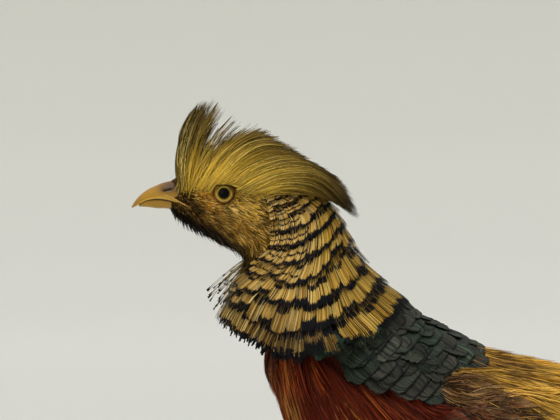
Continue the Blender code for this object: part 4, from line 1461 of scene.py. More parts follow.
def grow_down(coat):
    """Short dark red feathers that fill the hollow under the cape's front edge."""
    grow_silk(coat, form, under_rim, 1.8 * MM, 57, between(9, 15),
              mixed(tint(60, 22, 10), tint(128, 62, 24), 2), steps=5, sink=1.4 * MM,
              rise=0.1 * MM, sway=0.2, strands=6, wide=0.25, fan=0.1, ribbon=0.45 * MM,
              ragged=0.35, loft=0.3 * MM, narrow=0.4, shade=(0.3, 0.4, 0.08))


def over_wing_edge(places):
    """A strip just ahead of the folded wing."""
    return ((places[:, 1] > -0.080) & (places[:, 1] < -0.060) & (places[:, 2] > 0.172)
            & (places[:, 2] < 0.2255) & (np.abs(places[:, 0]) > 0.026))


def grow_flanks(coat):
    """Long breast feathers that lap over the wing's leading edge."""
    grow_silk(coat, wing_form, over_wing_edge, 3.0 * MM, 64, between(18, 28), red_paint,
              steps=7, sink=3.0 * MM, rise=2.0 * MM, sway=0.10, strands=7, wide=0.16,
              fan=0.04, ribbon=0.6 * MM, ragged=0.4, loft=0.4 * MM, narrow=0.35,
              shade=(0.34, 0.35, 0.10))


# %% Grow the rump
def rump_length(roots, rng):
    """Lengths of the rump's locks."""
    return 27 * MM * (0.75 + 0.5 * rng.random(len(roots)))


def rump_rise(roots):
    """Rump tips stand higher where they lap over the wing's upper edge."""
    edge = ramp(roots[:, 2], 0.226, -0.008) * (roots[:, 1] < 0.04)
    return (0.5 + 1.2 * edge) * MM


def rump_gold(roots, rng):
    """Dull gold to straw, with more brown feathers next to the mantle."""
    count = len(roots)
    base = blend(tint(202, 152, 52), tint(224, 184, 90), rng.random(count) ** 2 * 0.8)
    mantle_side = ramp(roots[:, 1], -0.026, -0.012)
    # more roots are brown next to the mantle
    brown = (rng.random(count) < 0.14 + 0.62 * mantle_side) * rng.uniform(0.3, 0.8, count)
    return blend(base, tint(94, 64, 34), np.minimum(brown * (1 + 0.4 * mantle_side), 1))


def grow_rump(coat):
    """Loose gold feathers that fall back over the tail's root."""
    grow_silk(coat, wing_form, on_rump, 2.7 * MM, 61, rump_length, rump_gold, steps=6,
              sink=2.6 * MM, rise=rump_rise, sway=0.12, strands=8, wide=0.20, fan=0.06,
              ribbon=0.5 * MM, ragged=0.35, loft=0.35 * MM, narrow=0.3,
              shade=(0.28, 0.45, 0.06))


# %% Make the coats
SILK = silky_finish("silky_feather")
CREST_SILK = silky_finish("crest_silk", roughness=0.45, streak=0.25)
BARBED = silky_finish("barbed_feather", roughness=0.6, streak=0.3)

face_coat = Plumage("face_coat", SILK, "face_feathers")
grow_face(face_coat)
face_coat.finish_piece()

crest_coat = Plumage("crest_coat", CREST_SILK, "crest_feathers")
grow_crest(crest_coat, 21, 620, 13, 13, 0.18 * MM, 0.34 * MM)
crest_coat.finish_piece("crest")

crest_wisps = Plumage("crest_wisps", CREST_SILK, "crest_feathers")
grow_crest(crest_wisps, 23, 430, 13, 10, 0.10 * MM, 0.20 * MM)
crest_wisps.finish_piece()

cape_coat = Plumage("cape_upper_coat", BARBED, "cape_feathers")
grow_cape(cape_coat, range(7), 31)
grow_throat_wisps(cape_coat)
cape_coat.finish_piece()

cape_hem = Plumage("cape_lower_coat", BARBED, "cape_feathers")
grow_cape(cape_hem, range(7, 11), 33)
cape_hem.finish_piece()


# %% Coats of the trunk
def scale_finish(name, pitch, depth):
    """Firm scales: fine barbs side by side in uneven clumps, their ridges painted as highlight and
    shade lines, with a low waxy shine.
    """
    material, tree, shader = finish(name, 0.5, specular=0.07)
    ridge = barbs(tree, pitch)
    clumps = node_of(tree, "ShaderNodeTexNoise", noise_dimensions="1D")
    clumps.inputs["Scale"].default_value = 1.5 / pitch
    clumps.inputs["Detail"].default_value = 3.0
    tree.links.new(stored(tree, "barb").outputs["Fac"], clumps.inputs["W"])
    uneven = maths(tree, "MULTIPLY_ADD", clumps.outputs["Fac"], depth * 3.0, 1 - depth * 1.5)
    # the barb ridges painted lighter and darker: painted highlight and shade
    light = maths(tree, "MULTIPLY_ADD", ridge, depth * 0.5, uneven)
    light = maths(tree, "MAXIMUM", light, 0.12)
    dim_paint(tree, shader, light)
    lift_bump(tree, shader, ridge, 0.12)
    return material


mantle_coat = Plumage("mantle_coat", scale_finish("mantle_scale", 0.9, 1.1),
                      "mantle_feathers")
grow_mantle(mantle_coat)
mantle_coat.finish_piece()

breast_coat = Plumage("breast_coat", SILK, "breast_feathers")
grow_red(breast_coat, on_breast, 2.7 * MM, 7, 51)
grow_down(breast_coat)
breast_coat.finish_piece()

belly_coat = Plumage("belly_coat", SILK, "breast_feathers")
grow_red(belly_coat, on_belly, 3.4 * MM, 6, 54, long=30 * MM, ribbon=0.85 * MM)
grow_flanks(belly_coat)
belly_coat.finish_piece()

rump_coat = Plumage("rump_coat", SILK, "back_feathers")
grow_rump(rump_coat)
rump_coat.finish_piece()

# %% [markdown]
# ## Hard parts: bill, eyes, legs
# Horn, glass and scales are closed shells, each lofted through rings. A small collector
# takes grids of rings, closes their ends on a point and stores a painted colour, so markings
# such as the gape line and the iris, and the painted shade in the nostril, are part of the shell.

# %% The shell collector
class Shell:
    """Collects closed tubes made of rings and makes one smooth mesh of them."""

    def __init__(self, name, finish, slot):
        self.name = name
        self.finish = finish
        self.slot = slot
        self.points = []
        self.faces = []
        self.paint = []
        self.count = 0

    def add_rings(self, rings, paint):
        """Add rings x points x 3, closed round and pinched shut at both ends."""
        rings = np.asarray(rings, float)
        paint = np.broadcast_to(paint, rings.shape)
        first = rings[:1].mean(axis=1, keepdims=True) + 0 * rings[:1]
        last = rings[-1:].mean(axis=1, keepdims=True) + 0 * rings[-1:]
        rings = np.concatenate([first, rings, last])
        paint = np.concatenate([paint[:1], paint, paint[-1:]])
        rows, columns = rings.shape[:2]
        index = np.arange(rows * columns).reshape(rows, columns) + self.count
        turn = np.roll(index, -1, axis=1)
        quads = np.stack([index[:-1], turn[:-1], turn[1:], index[1:]], axis=-1)
        self.faces.append(quads.reshape(-1, 4))
        self.points.append(rings.reshape(-1, 3))
        self.paint.append(paint.reshape(-1, 3))
        self.count += rows * columns

    def finish_piece(self, *nodes):
        """Make the object; the pinched ends are welded and the normals face out."""
        mesh = bpy.data.meshes.new(self.name)
        mesh.from_pydata(np.concatenate(self.points).tolist(), [],
                         np.concatenate(self.faces).tolist())
        store(mesh, "paint", "FLOAT_COLOR", np.concatenate(self.paint))
        shape = bmesh.new()
        shape.from_mesh(mesh)
        bmesh.ops.remove_doubles(shape, verts=shape.verts, dist=0.002 * MM)
        bmesh.ops.recalc_face_normals(shape, faces=shape.faces)
        shape.to_mesh(mesh)
        shape.free()
        mesh.shade_smooth()
        mesh.materials.append(self.finish)
        piece = bpy.data.objects.new(self.name, mesh)
        bpy.context.scene.collection.objects.link(piece)
        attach(piece, "root")
        if nodes:
            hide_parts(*nodes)
        print(self.name, "triangles", len(mesh.polygons) * 2)


# %% Tubes that follow a path
NO_PLATES = 99.0                    # a plate longer than any tube, so none ends on it


def tube(points, radii, plates, top, count=20, flat=1.0, depth=0.09):
    """Rings along a path; plates gives saw-edged scutes on the side that faces top."""
    points = np.asarray(points)
    way = unit(np.gradient(points, axis=0))
    side = unit(np.cross(way, top))
    up = unit(np.cross(side, way))
    turn = np.linspace(0, 2 * math.pi, count + 1)[:-1]
    run = np.concatenate([[0], np.cumsum(np.linalg.norm(np.diff(points, axis=0), axis=1))])
    saw = (run / plates) % 1.0
    face = np.clip(np.cos(turn) * 1.6, 0, 1)
    step = 1 + depth * (saw - 0.5)[:, None] * face[None, :]
    size = np.asarray(radii)[:, None] * step
    rings = (points[:, None, :] + up[:, None, :] * (np.cos(turn) * size)[..., None]
             + side[:, None, :] * (np.sin(turn) * size * flat)[..., None])
    groove = peak(saw, 0.02, 0.10) + peak(saw, 1.02, 0.10)
    shade = 1 - 0.5 * groove[:, None] * face[None, :] - 0.15 * (1 - face)[None, :]
    return rings, shade[..., None]


# %% Horn and scale finishes
def grained_finish(name, roughness, scale, stretch, depth, bump, coat=0.0, specular=0.4,
                   cells=0.0):
    """Horn or scaly skin: the stored colour, a stretched grain and fine bump."""
    material, tree, shader = finish(name, roughness, coat, specular)
    where = object_places(tree)
    height = noise(tree, squeezed(tree, where, stretch), scale, 5.0)
    if cells:
        plates = node_of(tree, "ShaderNodeTexVoronoi", feature="DISTANCE_TO_EDGE")
        plates.inputs["Scale"].default_value = cells
        tree.links.new(where, plates.inputs["Vector"])
        edge = maths(tree, "MULTIPLY", plates.outputs["Distance"], 5.0)
        edge = maths(tree, "MINIMUM", edge, 1.0)
        height = maths(tree, "MULTIPLY_ADD", height, 0.35, edge)
    light = maths(tree, "MULTIPLY_ADD", height, depth * 2, 1 - depth)
    dim_paint(tree, shader, light)
    lift_bump(tree, shader, height, bump)
    return material


# %% [markdown]
# ## The bill
# A pheasant's bill is horn: an arched upper half with a ridge and a small hook, a nostril
# slit under a swollen flap at its base, and a pale cutting edge that runs back to the gape.
# The lower half is slimmer and shuts inside the upper. Both are lofted from side-view
# tables, with the flap and slit raised and sunk in the rings.

# %% Shape the bill
BILL_UPPER = [  # y, top, cutting edge, half width
    (-0.1560, 0.3085, 0.2965, 0.0060), (-0.1588, 0.3098, 0.2986, 0.0072),
    (-0.1615, 0.3105, 0.3000, 0.0071), (-0.1650, 0.3106, 0.3012, 0.0066),
    (-0.1680, 0.3102, 0.3021, 0.0060), (-0.1710, 0.3095, 0.3026, 0.0054),
    (-0.1740, 0.3083, 0.3027, 0.0047), (-0.1777, 0.3065, 0.3020, 0.0036),
    (-0.1800, 0.3048, 0.3010, 0.0027), (-0.1818, 0.3030, 0.3001, 0.0019),
    (-0.1832, 0.3011, 0.2993, 0.0011), (-0.1841, 0.2996, 0.2990, 0.0004)]
BILL_LOWER = [
    (-0.1570, 0.2990, 0.2940, 0.0062), (-0.1600, 0.3000, 0.2957, 0.0062),
    (-0.1640, 0.3013, 0.2972, 0.0057), (-0.1680, 0.3026, 0.2985, 0.0050),
    (-0.1740, 0.3034, 0.2989, 0.0038), (-0.1777, 0.3026, 0.2994, 0.0027),
    (-0.1800, 0.3014, 0.2995, 0.0016), (-0.1810, 0.3006, 0.2996, 0.0006)]
NOSTRIL = [(-0.1703, 0.3060), (-0.1672, 0.3067)]


def bill_rings(table, upper):
    """Rings of one half of the bill."""
    count, points = 70, 22
    table = np.array(table)[::-1]
    y = np.linspace(table[0, 0], table[-1, 0], count)
    top, edge, half = through(table[:, 0], table[:, 1:], y).T
    v = np.linspace(0, 1, points)
    if upper:
        wide = np.sin(math.pi / 2 * v ** 0.72) ** 0.85
        level = top[:, None] - (top - edge)[:, None] * v
    else:
        wide = np.sin(math.pi / 2 * v ** 0.6)
        level = edge[:, None] + (top - edge)[:, None] * v
    x = half[:, None] * wide
    inside = np.array([0.82, 0.55, 0.28])
    roof = (level[:, -1:] + (0.25 if upper else -0.10) * (top - edge)[:, None]
            * (1 - inside[None, :] ** 2))
    x = np.hstack([x, half[:, None] * inside])
    level = np.hstack([level, roof])
    side_y = np.broadcast_to(y[:, None], x.shape)
    left = np.stack([x, side_y, level], axis=2)
    if upper:
        gap = line_gap(side_y, level, NOSTRIL)
        swell = 0.55 * MM * peak(line_gap(side_y, level - 0.9 * MM, NOSTRIL), 0, 1.1 * MM)
        dent = 0.75 * MM * peak(gap, 0, 0.38 * MM)
        lip = 0.35 * MM * peak(v[None, :], 0.93, 0.06)
        shift = swell - dent
        shift[:, :points] += lip * (half / half.max())[:, None]
        shift[:, points:] = 0
        shift[:, 0] = 0
        left[..., 0] += shift
    right = left[:, ::-1][:, :-1] * np.array([-1.0, 1.0, 1.0])
    return np.concatenate([left, right], axis=1)


def bill_colour(rings, upper):
    """Ochre horn, brown at the base, dusky at the tip, pale on the cutting edge; the nostril and
    the top of the lower half are painted dark as shade.
    """
    y, z = rings[..., 1], rings[..., 2]
    tone = np.tile(tint(152, 112, 28), y.shape + (1,))
    table = np.array(BILL_UPPER if upper else BILL_LOWER)[::-1]
    top, edge, _ = through(table[:, 0], table[:, 1:], y[:, 0]).T
    rise = np.clip((z - edge[:, None]) / (top - edge)[:, None], 0, 1)
    if upper:
        base = ramp(y, -0.1755, 0.008) * np.clip(rise * 1.8 - 0.4, 0, 1)
        tone = blend(tone, tint(62, 38, 14), base)
        tone = blend(tone, tint(128, 98, 56), ramp(y, -0.1785, -0.005) * 0.7)
        tone = blend(tone, tint(140, 98, 40), np.clip(rise * 2 - 1.2, 0, 1) * 0.6)
        tone = blend(tone, tint(184, 146, 56), peak(rise, 0.06, 0.09) * 0.8)
        flap = peak(line_gap(y, z - 0.9 * MM, NOSTRIL), 0, 1.7 * MM)
        tone = blend(tone, tint(64, 42, 18), flap * 0.7)
        # the nostril opening painted near black: painted shade inside it
        slit = peak(line_gap(y, z, NOSTRIL), 0, 0.34 * MM)
        return blend(tone, tint(16, 11, 6), np.clip(slit * 1.3, 0, 1))
    tone = blend(tone, tint(182, 144, 58), 0.5 * (1 - rise))
    # the top of the lower half painted dark: shade under the upper half's cutting edge
    tone = blend(tone, tint(34, 22, 12), ramp(rise, 0.66, 0.12))
    return blend(tone, tint(84, 60, 28), ramp(y, -0.168, 0.005) * 0.8)


def gape_strip(side):
    """The pale soft edge that runs from the horn back to the corner of the mouth."""
    share = np.linspace(0, 1, 24)
    flat = through(np.linspace(0, 1, len(GAPE)), np.array(GAPE), share)
    start = np.column_stack([np.full(24, side * 0.012), flat])
    near, normals = form.touch(start)
    path = np.column_stack([near[:, 0], flat]) - normals * 0.05 * MM
    size = (0.42 - 0.16 * share) * MM * np.sin(np.pi * (0.04 + 0.92 * share)) ** 0.6
    rings, _ = tube(path, size, NO_PLATES, np.array([side, 0.0, 0.0]), 12, depth=0)
    tone = blend(tint(176, 138, 54), tint(150, 116, 56), share)[:, None, :]
    return rings, tone


# %% Make the bill
HORN = grained_finish("bill_horn", 0.42, 900.0, (1.0, 0.22, 1.0), 0.20, 0.12, coat=0.03,
                      specular=0.2)
for half_name, table, upper in (("upper", BILL_UPPER, True), ("lower", BILL_LOWER, False)):
    shell = Shell(f"bill_{half_name}_horn", HORN, "bill_horn")
    rings = bill_rings(table, upper)
    shell.add_rings(rings, bill_colour(rings, upper))
    if upper:
        for side in (1, -1):
            shell.add_rings(*gape_strip(side))
    shell.finish_piece(f"bill_{half_name}")

# %% [markdown]
# ## The eyes
# Each eye is a whole glass ball set as deep as the real one. The pupil is black, with a
# narrow olive-amber iris that is finely streaked outwards. The rings of the ball are
# centred on the line of sight, so colours by ring give exact circles.

# %% Make the eyes
GLASS = grained_finish("glass_eye", 0.10, 2200.0, (1.0, 1.0, 1.0), 0.10, 0.0,
                       specular=0.05)


def make_eye(word, side):
    """A glass eye with a pupil and an iris."""
    centre, radius = EYES[side]
    radius = radius * 0.985
    polar = np.concatenate([np.linspace(0.02, 0.9, 40), np.linspace(0.95, math.pi - 0.02, 24)])
    turn = np.linspace(0, 2 * math.pi, 65)[:-1]
    out = radius * np.sin(polar)
    rings = np.stack([np.broadcast_to(side * radius * np.cos(polar)[:, None], (64, 64)),
                      out[:, None] * np.cos(turn), out[:, None] * np.sin(turn)], axis=2)
    rings = rings + centre
    streak = 0.82 + 0.18 * np.sin(turn * 37) * np.sin(turn * 23 + 1)
    share = ramp(out, 2.15 * MM, 0.65 * MM)[:, None]
    tone = blend(tint(50, 40, 8), tint(162, 138, 40), share ** 1.2 * streak)
    pupil = ramp(out, 2.25 * MM, -0.16 * MM)[:, None]
    tone = blend(tone, tint(5, 5, 5), pupil)
    rim = ramp(out, 2.90 * MM, 0.2 * MM)[:, None]
    tone = blend(tone, tint(30, 22, 12), rim)
    shell = Shell(f"glass_eye_{word}", GLASS, "glass_eye")
    shell.add_rings(rings, tone)
    shell.finish_piece(f"eye_{word}")


make_eye("left", 1)
make_eye("right", -1)

# %% [markdown]
# ## The folded wings
# The wing lies folded against the flank. Ragged brown shoulder feathers cover its top, then
# come rows of maroon coverts, a few blue inner feathers, and the long barred flight feathers
# that end in a point beside the tail. Short ones creep over a form that joins wing and body.
# The long ones are laid from tables, one over the other.

# %% The lie of the wing
def wing_lie(places, normals):
    """Wing feathers point straight back and a little down."""
    return flatten(np.tile(unit(np.array([0.0, 1.0, -0.26])), (len(places), 1)), normals)


def on_shoulder(places):
    """The ragged feathers over the top of the wing."""
    low = np.interp(places[:, 1], SHOULDER_LOW[:, 0], SHOULDER_LOW[:, 1]) - 0.002
    high = np.interp(places[:, 1], SHOULDER_HIGH[:, 0], SHOULDER_HIGH[:, 1]) + 0.001
    inside = (places[:, 2] > low) & (places[:, 2] < high) & (np.abs(places[:, 0]) > 0.018)
    return inside & (places[:, 1] > -0.060) & (places[:, 1] < 0.052)


def on_coverts(places):
    """The small feathers over the fore half of the wing."""
    middle = np.interp(places[:, 1], WING_ROWS[:, 0], WING_ROWS[:, 2])
    half = np.interp(places[:, 1], WING_ROWS[:, 0], WING_ROWS[:, 3])
    inside = np.abs(places[:, 2] - middle) < half * 0.98
    inside &= np.abs(places[:, 0]) > 0.036
    inside &= places[:, 2] < 0.003 + np.interp(
        places[:, 1], SHOULDER_LOW[:, 0], SHOULDER_LOW[:, 1])
    return inside & (places[:, 1] > -0.067) & (places[:, 1] < 0.034 + (places[:, 2] - 0.19))


# %% Grow the shoulder feathers and coverts
def vane_paint(base, tip_colour, tip_amount, shaft=0.35, start=0.7):
    """Colour for a vane: its own tone, a dark shaft, a tip of another colour and painted shade
    towards the foot.
    """
    def paint(rng, vanes, share, u):
        tip = ramp(share, start, 1 - start)[None, :, None] * tip_amount
        edge = (np.abs(u) ** 4)[None, None, :] * tip_amount * 0.8
        tone = blend(base[:, None, None, :], tip_colour, np.maximum(tip, edge))
        line = peak(u, 0, 0.09)[None, None, :, None] * shaft
        # darker towards the foot: painted shade under the feathers above
        root = (0.55 + 0.45 * ramp(share, 0, 0.5))[None, :, None, None]
        return tone * (1 - line) * root
    return paint


def grow_shoulder(vanes, silk):
    """Worn brown feathers: split vanes with loose locks between them."""
    roots = spread_roots(wing_form, on_shoulder, 5.0 * MM, 71)
    rng = np.random.default_rng(72)
    count = len(roots)
    length = rng.uniform(17, 27, count) * MM
    path, ways, ups = creep(wing_form, roots, length, 8, 1.8 * MM, 0.7 * MM,
                            rng.normal(0.05, 0.20, count), wing_lie)
    kinds = np.array([tint(122, 92, 56), tint(90, 62, 36), tint(84, 48, 26),
                      tint(176, 128, 66), tint(42, 29, 18)])
    base = kinds[rng.choice(5, count, p=[0.34, 0.30, 0.10, 0.10, 0.16])]
    base = base * np.exp(rng.normal(0, 0.22, count))[:, None]
    width = rng.uniform(2.2, 4.0, count) * MM
    add_vanes(vanes, roots, path, ways, ups, width, vane_paint(base, tint(150, 108, 60), 0.35),
              73, columns=5, square=1.6, camber=0.12, ragged=0.2, fanned=True)
    more = spread_roots(wing_form, on_shoulder, 2.1 * MM, 74)
    count = len(more)
    length = rng.uniform(12, 26, count) * MM
    path, ways, ups = creep(wing_form, more, length, 8, 1.0 * MM, 1.3 * MM,
                            rng.normal(0.05, 0.44, count), wing_lie)
    tones = kinds[rng.choice(5, count, p=[0.32, 0.24, 0.12, 0.14, 0.18])] * np.exp(
        rng.normal(0, 0.34, count))[:, None]

    def paint(rng, locks, share):
        return shaded(tones, rng, share, 0.42, 0.5, 0.10)

    add_locks(silk, more, path, ways, ups, 7, length * 0.15, length * 0.05, paint, 75,
              ribbon=0.42 * MM, ragged=0.45, loft=0.75 * MM, narrow=0.3)


def grow_coverts(coat):
    """Small maroon-brown feathers in overlapping rows."""
    roots = spread_roots(wing_form, on_coverts, 4.2 * MM, 76)
    rng = np.random.default_rng(77)
    count = len(roots)
    back = ramp(roots[:, 1], -0.065, 0.09)
    length = (15 + 10 * back) * MM * rng.uniform(0.85, 1.2, count)
    path, ways, ups = creep(wing_form, roots, length, 6, 1.6 * MM, 0.5 * MM,
                            rng.normal(0, 0.08, count), wing_lie)
    base = blend(tint(84, 38, 22), tint(64, 42, 28), rng.random(count))
    base = base * np.exp(rng.normal(0, 0.24, count))[:, None]
    width = (6.5 + 3.5 * back) * MM
    add_vanes(coat, roots, path, ways, ups, width, vane_paint(base, tint(118, 76, 44), 0.4),
              78, columns=11, square=2.0, camber=0.05, ragged=0.16, rows=10, fanned=True)


# %% [markdown]
# ## Barred flight feathers
# Flight and tail feathers carry bars or a net of spots. The pattern is set out in
# millimetres along and across each vane, bent by noise, so that it stays on the feather.

# %% The barred finish
def patterned_finish(name, pitch, buff, net=False):
    """Dark feathers with buff bars, or with a net of buff spots."""
    material, tree, shader = finish(name, 0.5)
    lay = stored(tree, "lay")
    parts = node_of(tree, "ShaderNodeSeparateXYZ")
    tree.links.new(lay.outputs["Vector"], parts.inputs[0])
    where = squeezed(tree, lay.outputs["Vector"], (1.0, 1.0, 40.0))
    cloud = noise(tree, where, 0.30, 4.0)
    if net:
        spots = node_of(tree, "ShaderNodeTexVoronoi", feature="DISTANCE_TO_EDGE")
        spots.inputs["Scale"].default_value = 1 / pitch
        tree.links.new(where, spots.inputs["Vector"])
        bent = maths(tree, "MULTIPLY_ADD", cloud, 0.16, spots.outputs["Distance"])
        mask = maths(tree, "MULTIPLY_ADD", bent, 12.0, -2.6)
    else:
        across = maths(tree, "ABSOLUTE", parts.outputs[0])
        slant = maths(tree, "MULTIPLY_ADD", across, -0.45, parts.outputs[1])
        bent = maths(tree, "MULTIPLY_ADD", cloud, pitch * 1.1, slant)
        phase = maths(tree, "MULTIPLY", bent, 2 * math.pi / pitch)
        mask = maths(tree, "MULTIPLY_ADD", maths(tree, "SINE", phase), 2.2, 0.2)
    clear = node_of(tree, "ShaderNodeClamp")
    tree.links.new(mask, clear.inputs["Value"])
    ridge = barbs(tree, 0.8)
    # the barb ridges painted lighter and darker: painted highlight and shade
    light = maths(tree, "MULTIPLY_ADD", ridge, 0.30, 0.82)
    spotted = mix_colours(tree, clear.outputs[0], stored(tree, "paint").outputs["Color"],
                          tuple(buff))
    dim_paint(tree, shader, light, spotted)
    lift_bump(tree, shader, ridge, 0.4)
    return material


# %% Lay the flight feathers
def wing_outside(y, z):
    """How far out the wing's surface is at a height."""
    rows = [np.interp(y, WING_ROWS[:, 0], WING_ROWS[:, k]) for k in range(1, 6)]
    centre_x, centre_z, half, thick, lean = rows
    rise = np.clip((z - centre_z) / half, -1, 1)
    return centre_x - rise * half * np.sin(lean) + thick * np.sqrt(1 - rise ** 2)


def flight_paths(plan, side):
    """Paths for long feathers; a plan row is root (y, z), tip (y, z) and its layer."""
    share = np.linspace(0, 1, 16)
    plan = np.array(plan)
    y = plan[:, 0:1] + (plan[:, 2] - plan[:, 0])[:, None] * share
    z = plan[:, 1:2] + (plan[:, 3] - plan[:, 1])[:, None] * share
    z = z + 3.0 * MM * np.sin(share * math.pi)[None, :]
    x = wing_outside(y, z) + plan[:, 4:5] * MM * (0.3 + 0.7 * share) + 0.2 * MM
    path = np.stack([side * x, y, z], axis=2)
    ways = unit(np.gradient(path, axis=1))
    ups = np.tile(unit(np.array([side * 1.0, 0.0, 0.12])), path.shape[:2] + (1,))
    return path, ways, ups


def lay_flight(coat):
    """Seven long outer feathers below, nine inner feathers over them, each side."""
    rng = np.random.default_rng(81)
    plan = []
    for k in range(7):
        plan.append((0.008 + 0.003 * k, 0.1735 + 0.0012 * k, 0.134 - 0.0055 * k,
                     0.1785 - 0.0012 * k, 0.10 * k))
    for k in range(9):
        plan.append((-0.004 + 0.002 * k, 0.1755 + 0.0042 * k, 0.098 - 0.0045 * k,
                     0.1745 + 0.0030 * k, 0.8 + 0.16 * k))
    count = len(plan)
    for order, side in enumerate((1, -1)):
        path, ways, ups = flight_paths(plan, side)
        base = tint(58, 42, 30) * np.exp(rng.normal(0, 0.12, count))[:, None]
        width = np.where(np.arange(count) < 7, 10.5, 12.5) * MM
        add_vanes(coat, path[:, 0], path, ways, ups, width,
                  vane_paint(base, tint(110, 84, 56), 0.25, shaft=-0.4), 82, columns=9,
                  square=2.4, stem=0.6, camber=0.16, ragged=0.02,
                  strips=(order * count, 2 * count))


def lay_blue(coat):
    """The short blue feathers nearest the back, four on each side."""
    rng = np.random.default_rng(84)
    plan = [(0.006 + 0.003 * k, 0.2085 + 0.0022 * k, 0.070 - 0.005 * k,
             0.1985 + 0.0022 * k, 2.6 + 0.25 * k) for k in range(4)]
    for side in (1, -1):
        path, ways, ups = flight_paths(plan, side)
        base = tint(24, 42, 92) * np.exp(rng.normal(0, 0.15, 4))[:, None]
        add_vanes(coat, path[:, 0], path, ways, ups, np.full(4, 12 * MM),
                  vane_paint(base, tint(20, 24, 40), 0.6), 85, columns=9, square=2.2,
                  stem=0.6, camber=0.2, ragged=0.03)


# %% Make the wings
VANE = silky_finish("soft_vane", streak=0.22)
shoulder_coat = Plumage("shoulder_coat", SILK, "wing_feathers")
covert_coat = Plumage("wing_covert_coat", scale_finish("covert_scale", 0.9, 0.8),
                      "wing_feathers")
grow_shoulder(covert_coat, shoulder_coat)
grow_coverts(covert_coat)
lay_blue(covert_coat)
shoulder_coat.finish_piece(*SCAPULARS)
covert_coat.finish_piece()
flight = Plumage("flight_feathers", patterned_finish("barred_flight", 7.0,
                                                     tint(140, 102, 66)), "wing_feathers")
lay_flight(flight)
flight.finish_piece(*WINGS)

# %% [markdown]
# ## The tail
# Eighteen long feathers make a vaulted roof that narrows to a point. The middle pair is by
# far the longest, black-brown with a net of cinnamon spots. The pairs below get shorter and
# are barred. All follow one vaulted surface that starts at the rump.

# %% The tail's surface
TAIL_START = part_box("tail_central_left")[0].y
TAIL_RUN = 0.690
TAIL_ROOT_HEIGHT = 0.2065
TAIL_SLOPES = (math.radians(9.0), math.radians(12.0))
TAIL_VAULT = math.radians(42.0)


def tail_at(s, across, level):
    """Places in the vaulted tail: along it, across it, and above its middle surface."""
    rate = (TAIL_SLOPES[1] - TAIL_SLOPES[0]) / TAIL_RUN
    mean = TAIL_SLOPES[0] + rate * s / 2
    here = TAIL_SLOPES[0] + rate * s
    reach = np.abs(across)
    drop = level - math.sin(TAIL_VAULT) * reach ** 2 / (reach + 6 * MM)
    x = across * math.cos(TAIL_VAULT) + 0 * s
    y = TAIL_START + s * np.cos(mean) + drop * np.sin(here)
    z = TAIL_ROOT_HEIGHT - s * np.sin(mean) + drop * np.cos(here)
    return np.stack(np.broadcast_arrays(x, np.maximum(y, TAIL_START), z), axis=-1)


TAIL_PLAN = [  # length, shaft's place across, half width, level above the middle surface (mm)
    (0.690, 17.5, 18.0, 1.9), (0.610, 22.5, 16.0, 0.8), (0.500, 25.0, 14.5, -0.3),
    (0.430, 27.0, 13.5, -1.1), (0.370, 28.5, 13.0, -1.9), (0.330, 29.5, 12.5, -2.7),
    (0.270, 30.5, 12.0, -3.5), (0.220, 31.0, 12.0, -4.2), (0.180, 31.5, 12.0, -4.9)]


def lay_tail_feather(coat, order, side, total):
    """One tail feather as a sheet on the vaulted surface."""
    length, shaft, half, level = TAIL_PLAN[order]
    rng = np.random.default_rng(90 + order * 2 + (side > 0))
    rows = int(14 + length * 70)
    share = np.linspace(0, 1, rows)
    u = np.linspace(-1, 1, 11)
    taper = 0.30 + 0.70 * (1 - share ** 2.2)
    waist = 1 - 0.30 * np.exp(-length * share / 0.060)
    point = np.sqrt(np.clip(1 - ((share - 0.80) / 0.20).clip(0, 1) ** 2.2, 0, 1))
    wobble = 0.6 * np.sin(share * 9 + rng.uniform(0, 6)) * share
    centre = (shaft * taper * waist + wobble)[:, None] * MM
    out = (half * taper * waist * point)[:, None] * u[None, :] * MM
    fray = rng.normal(0, 0.35 * MM, out.shape) * (np.abs(u) > 0.95)
    out = out + fray
    arch = -0.5 * MM * u[None, :] ** 2 + 0.25 * MM * peak(u[None, :], 0, 0.08)
    s = (length * share)[:, None]
    sheet = tail_at(s, side * (centre + out), level * MM + arch)
    lay = np.zeros(sheet.shape)
    lay[..., 0] = out / MM
    lay[..., 1] = s / MM
    lay[..., 2] = order * 7.3 + side
    barb = lay[..., 1] - 0.8 * np.abs(lay[..., 0])
    tone = np.broadcast_to(tint(34, 26, 20), sheet.shape).copy()
    line = peak(u, 0, 0.05)[None, :, None]
    tone = tone * (1 - line) + tint(92, 70, 46) * line
    place = order * 2 + (side > 0)
    across = (place + 0.5 + 0.45 * u[None, :]) / total + 0 * s
    along = 0.005 + 0.99 * s / TAIL_RUN + 0 * across
    coat.add_grid(sheet[None], tone[None], lay[None], np.stack([across, along], -1)[None],
                  barb[None])


# %% Make the tail
long_pair = Plumage("tail_middle_pair", patterned_finish("netted_tail", 6.5,
                                                         tint(168, 118, 66), net=True),
                    "tail_feathers")
for side in (1, -1):
    lay_tail_feather(long_pair, 0, side, 2)
long_pair.finish_piece("tail_central_left", "tail_central_right")
side_tail = Plumage("tail_side_feathers", patterned_finish("barred_tail", 13.0,
                                                           tint(150, 102, 58)),
                    "tail_feathers")
for order in range(1, 9):
    for side in (1, -1):
        lay_tail_feather(side_tail, order, side, 18)
side_tail.finish_piece(*TAIL_NODES[2:])

# %% [markdown]
# ## Tail coverts and side plumes
# Narrow scarlet-tipped feathers cover the tail's root above and on both sides, and softer
# red ones fill it in below. The side plumes are long, narrow and loose, so each gets a
# slim vane with hair-like barbs along its edge.


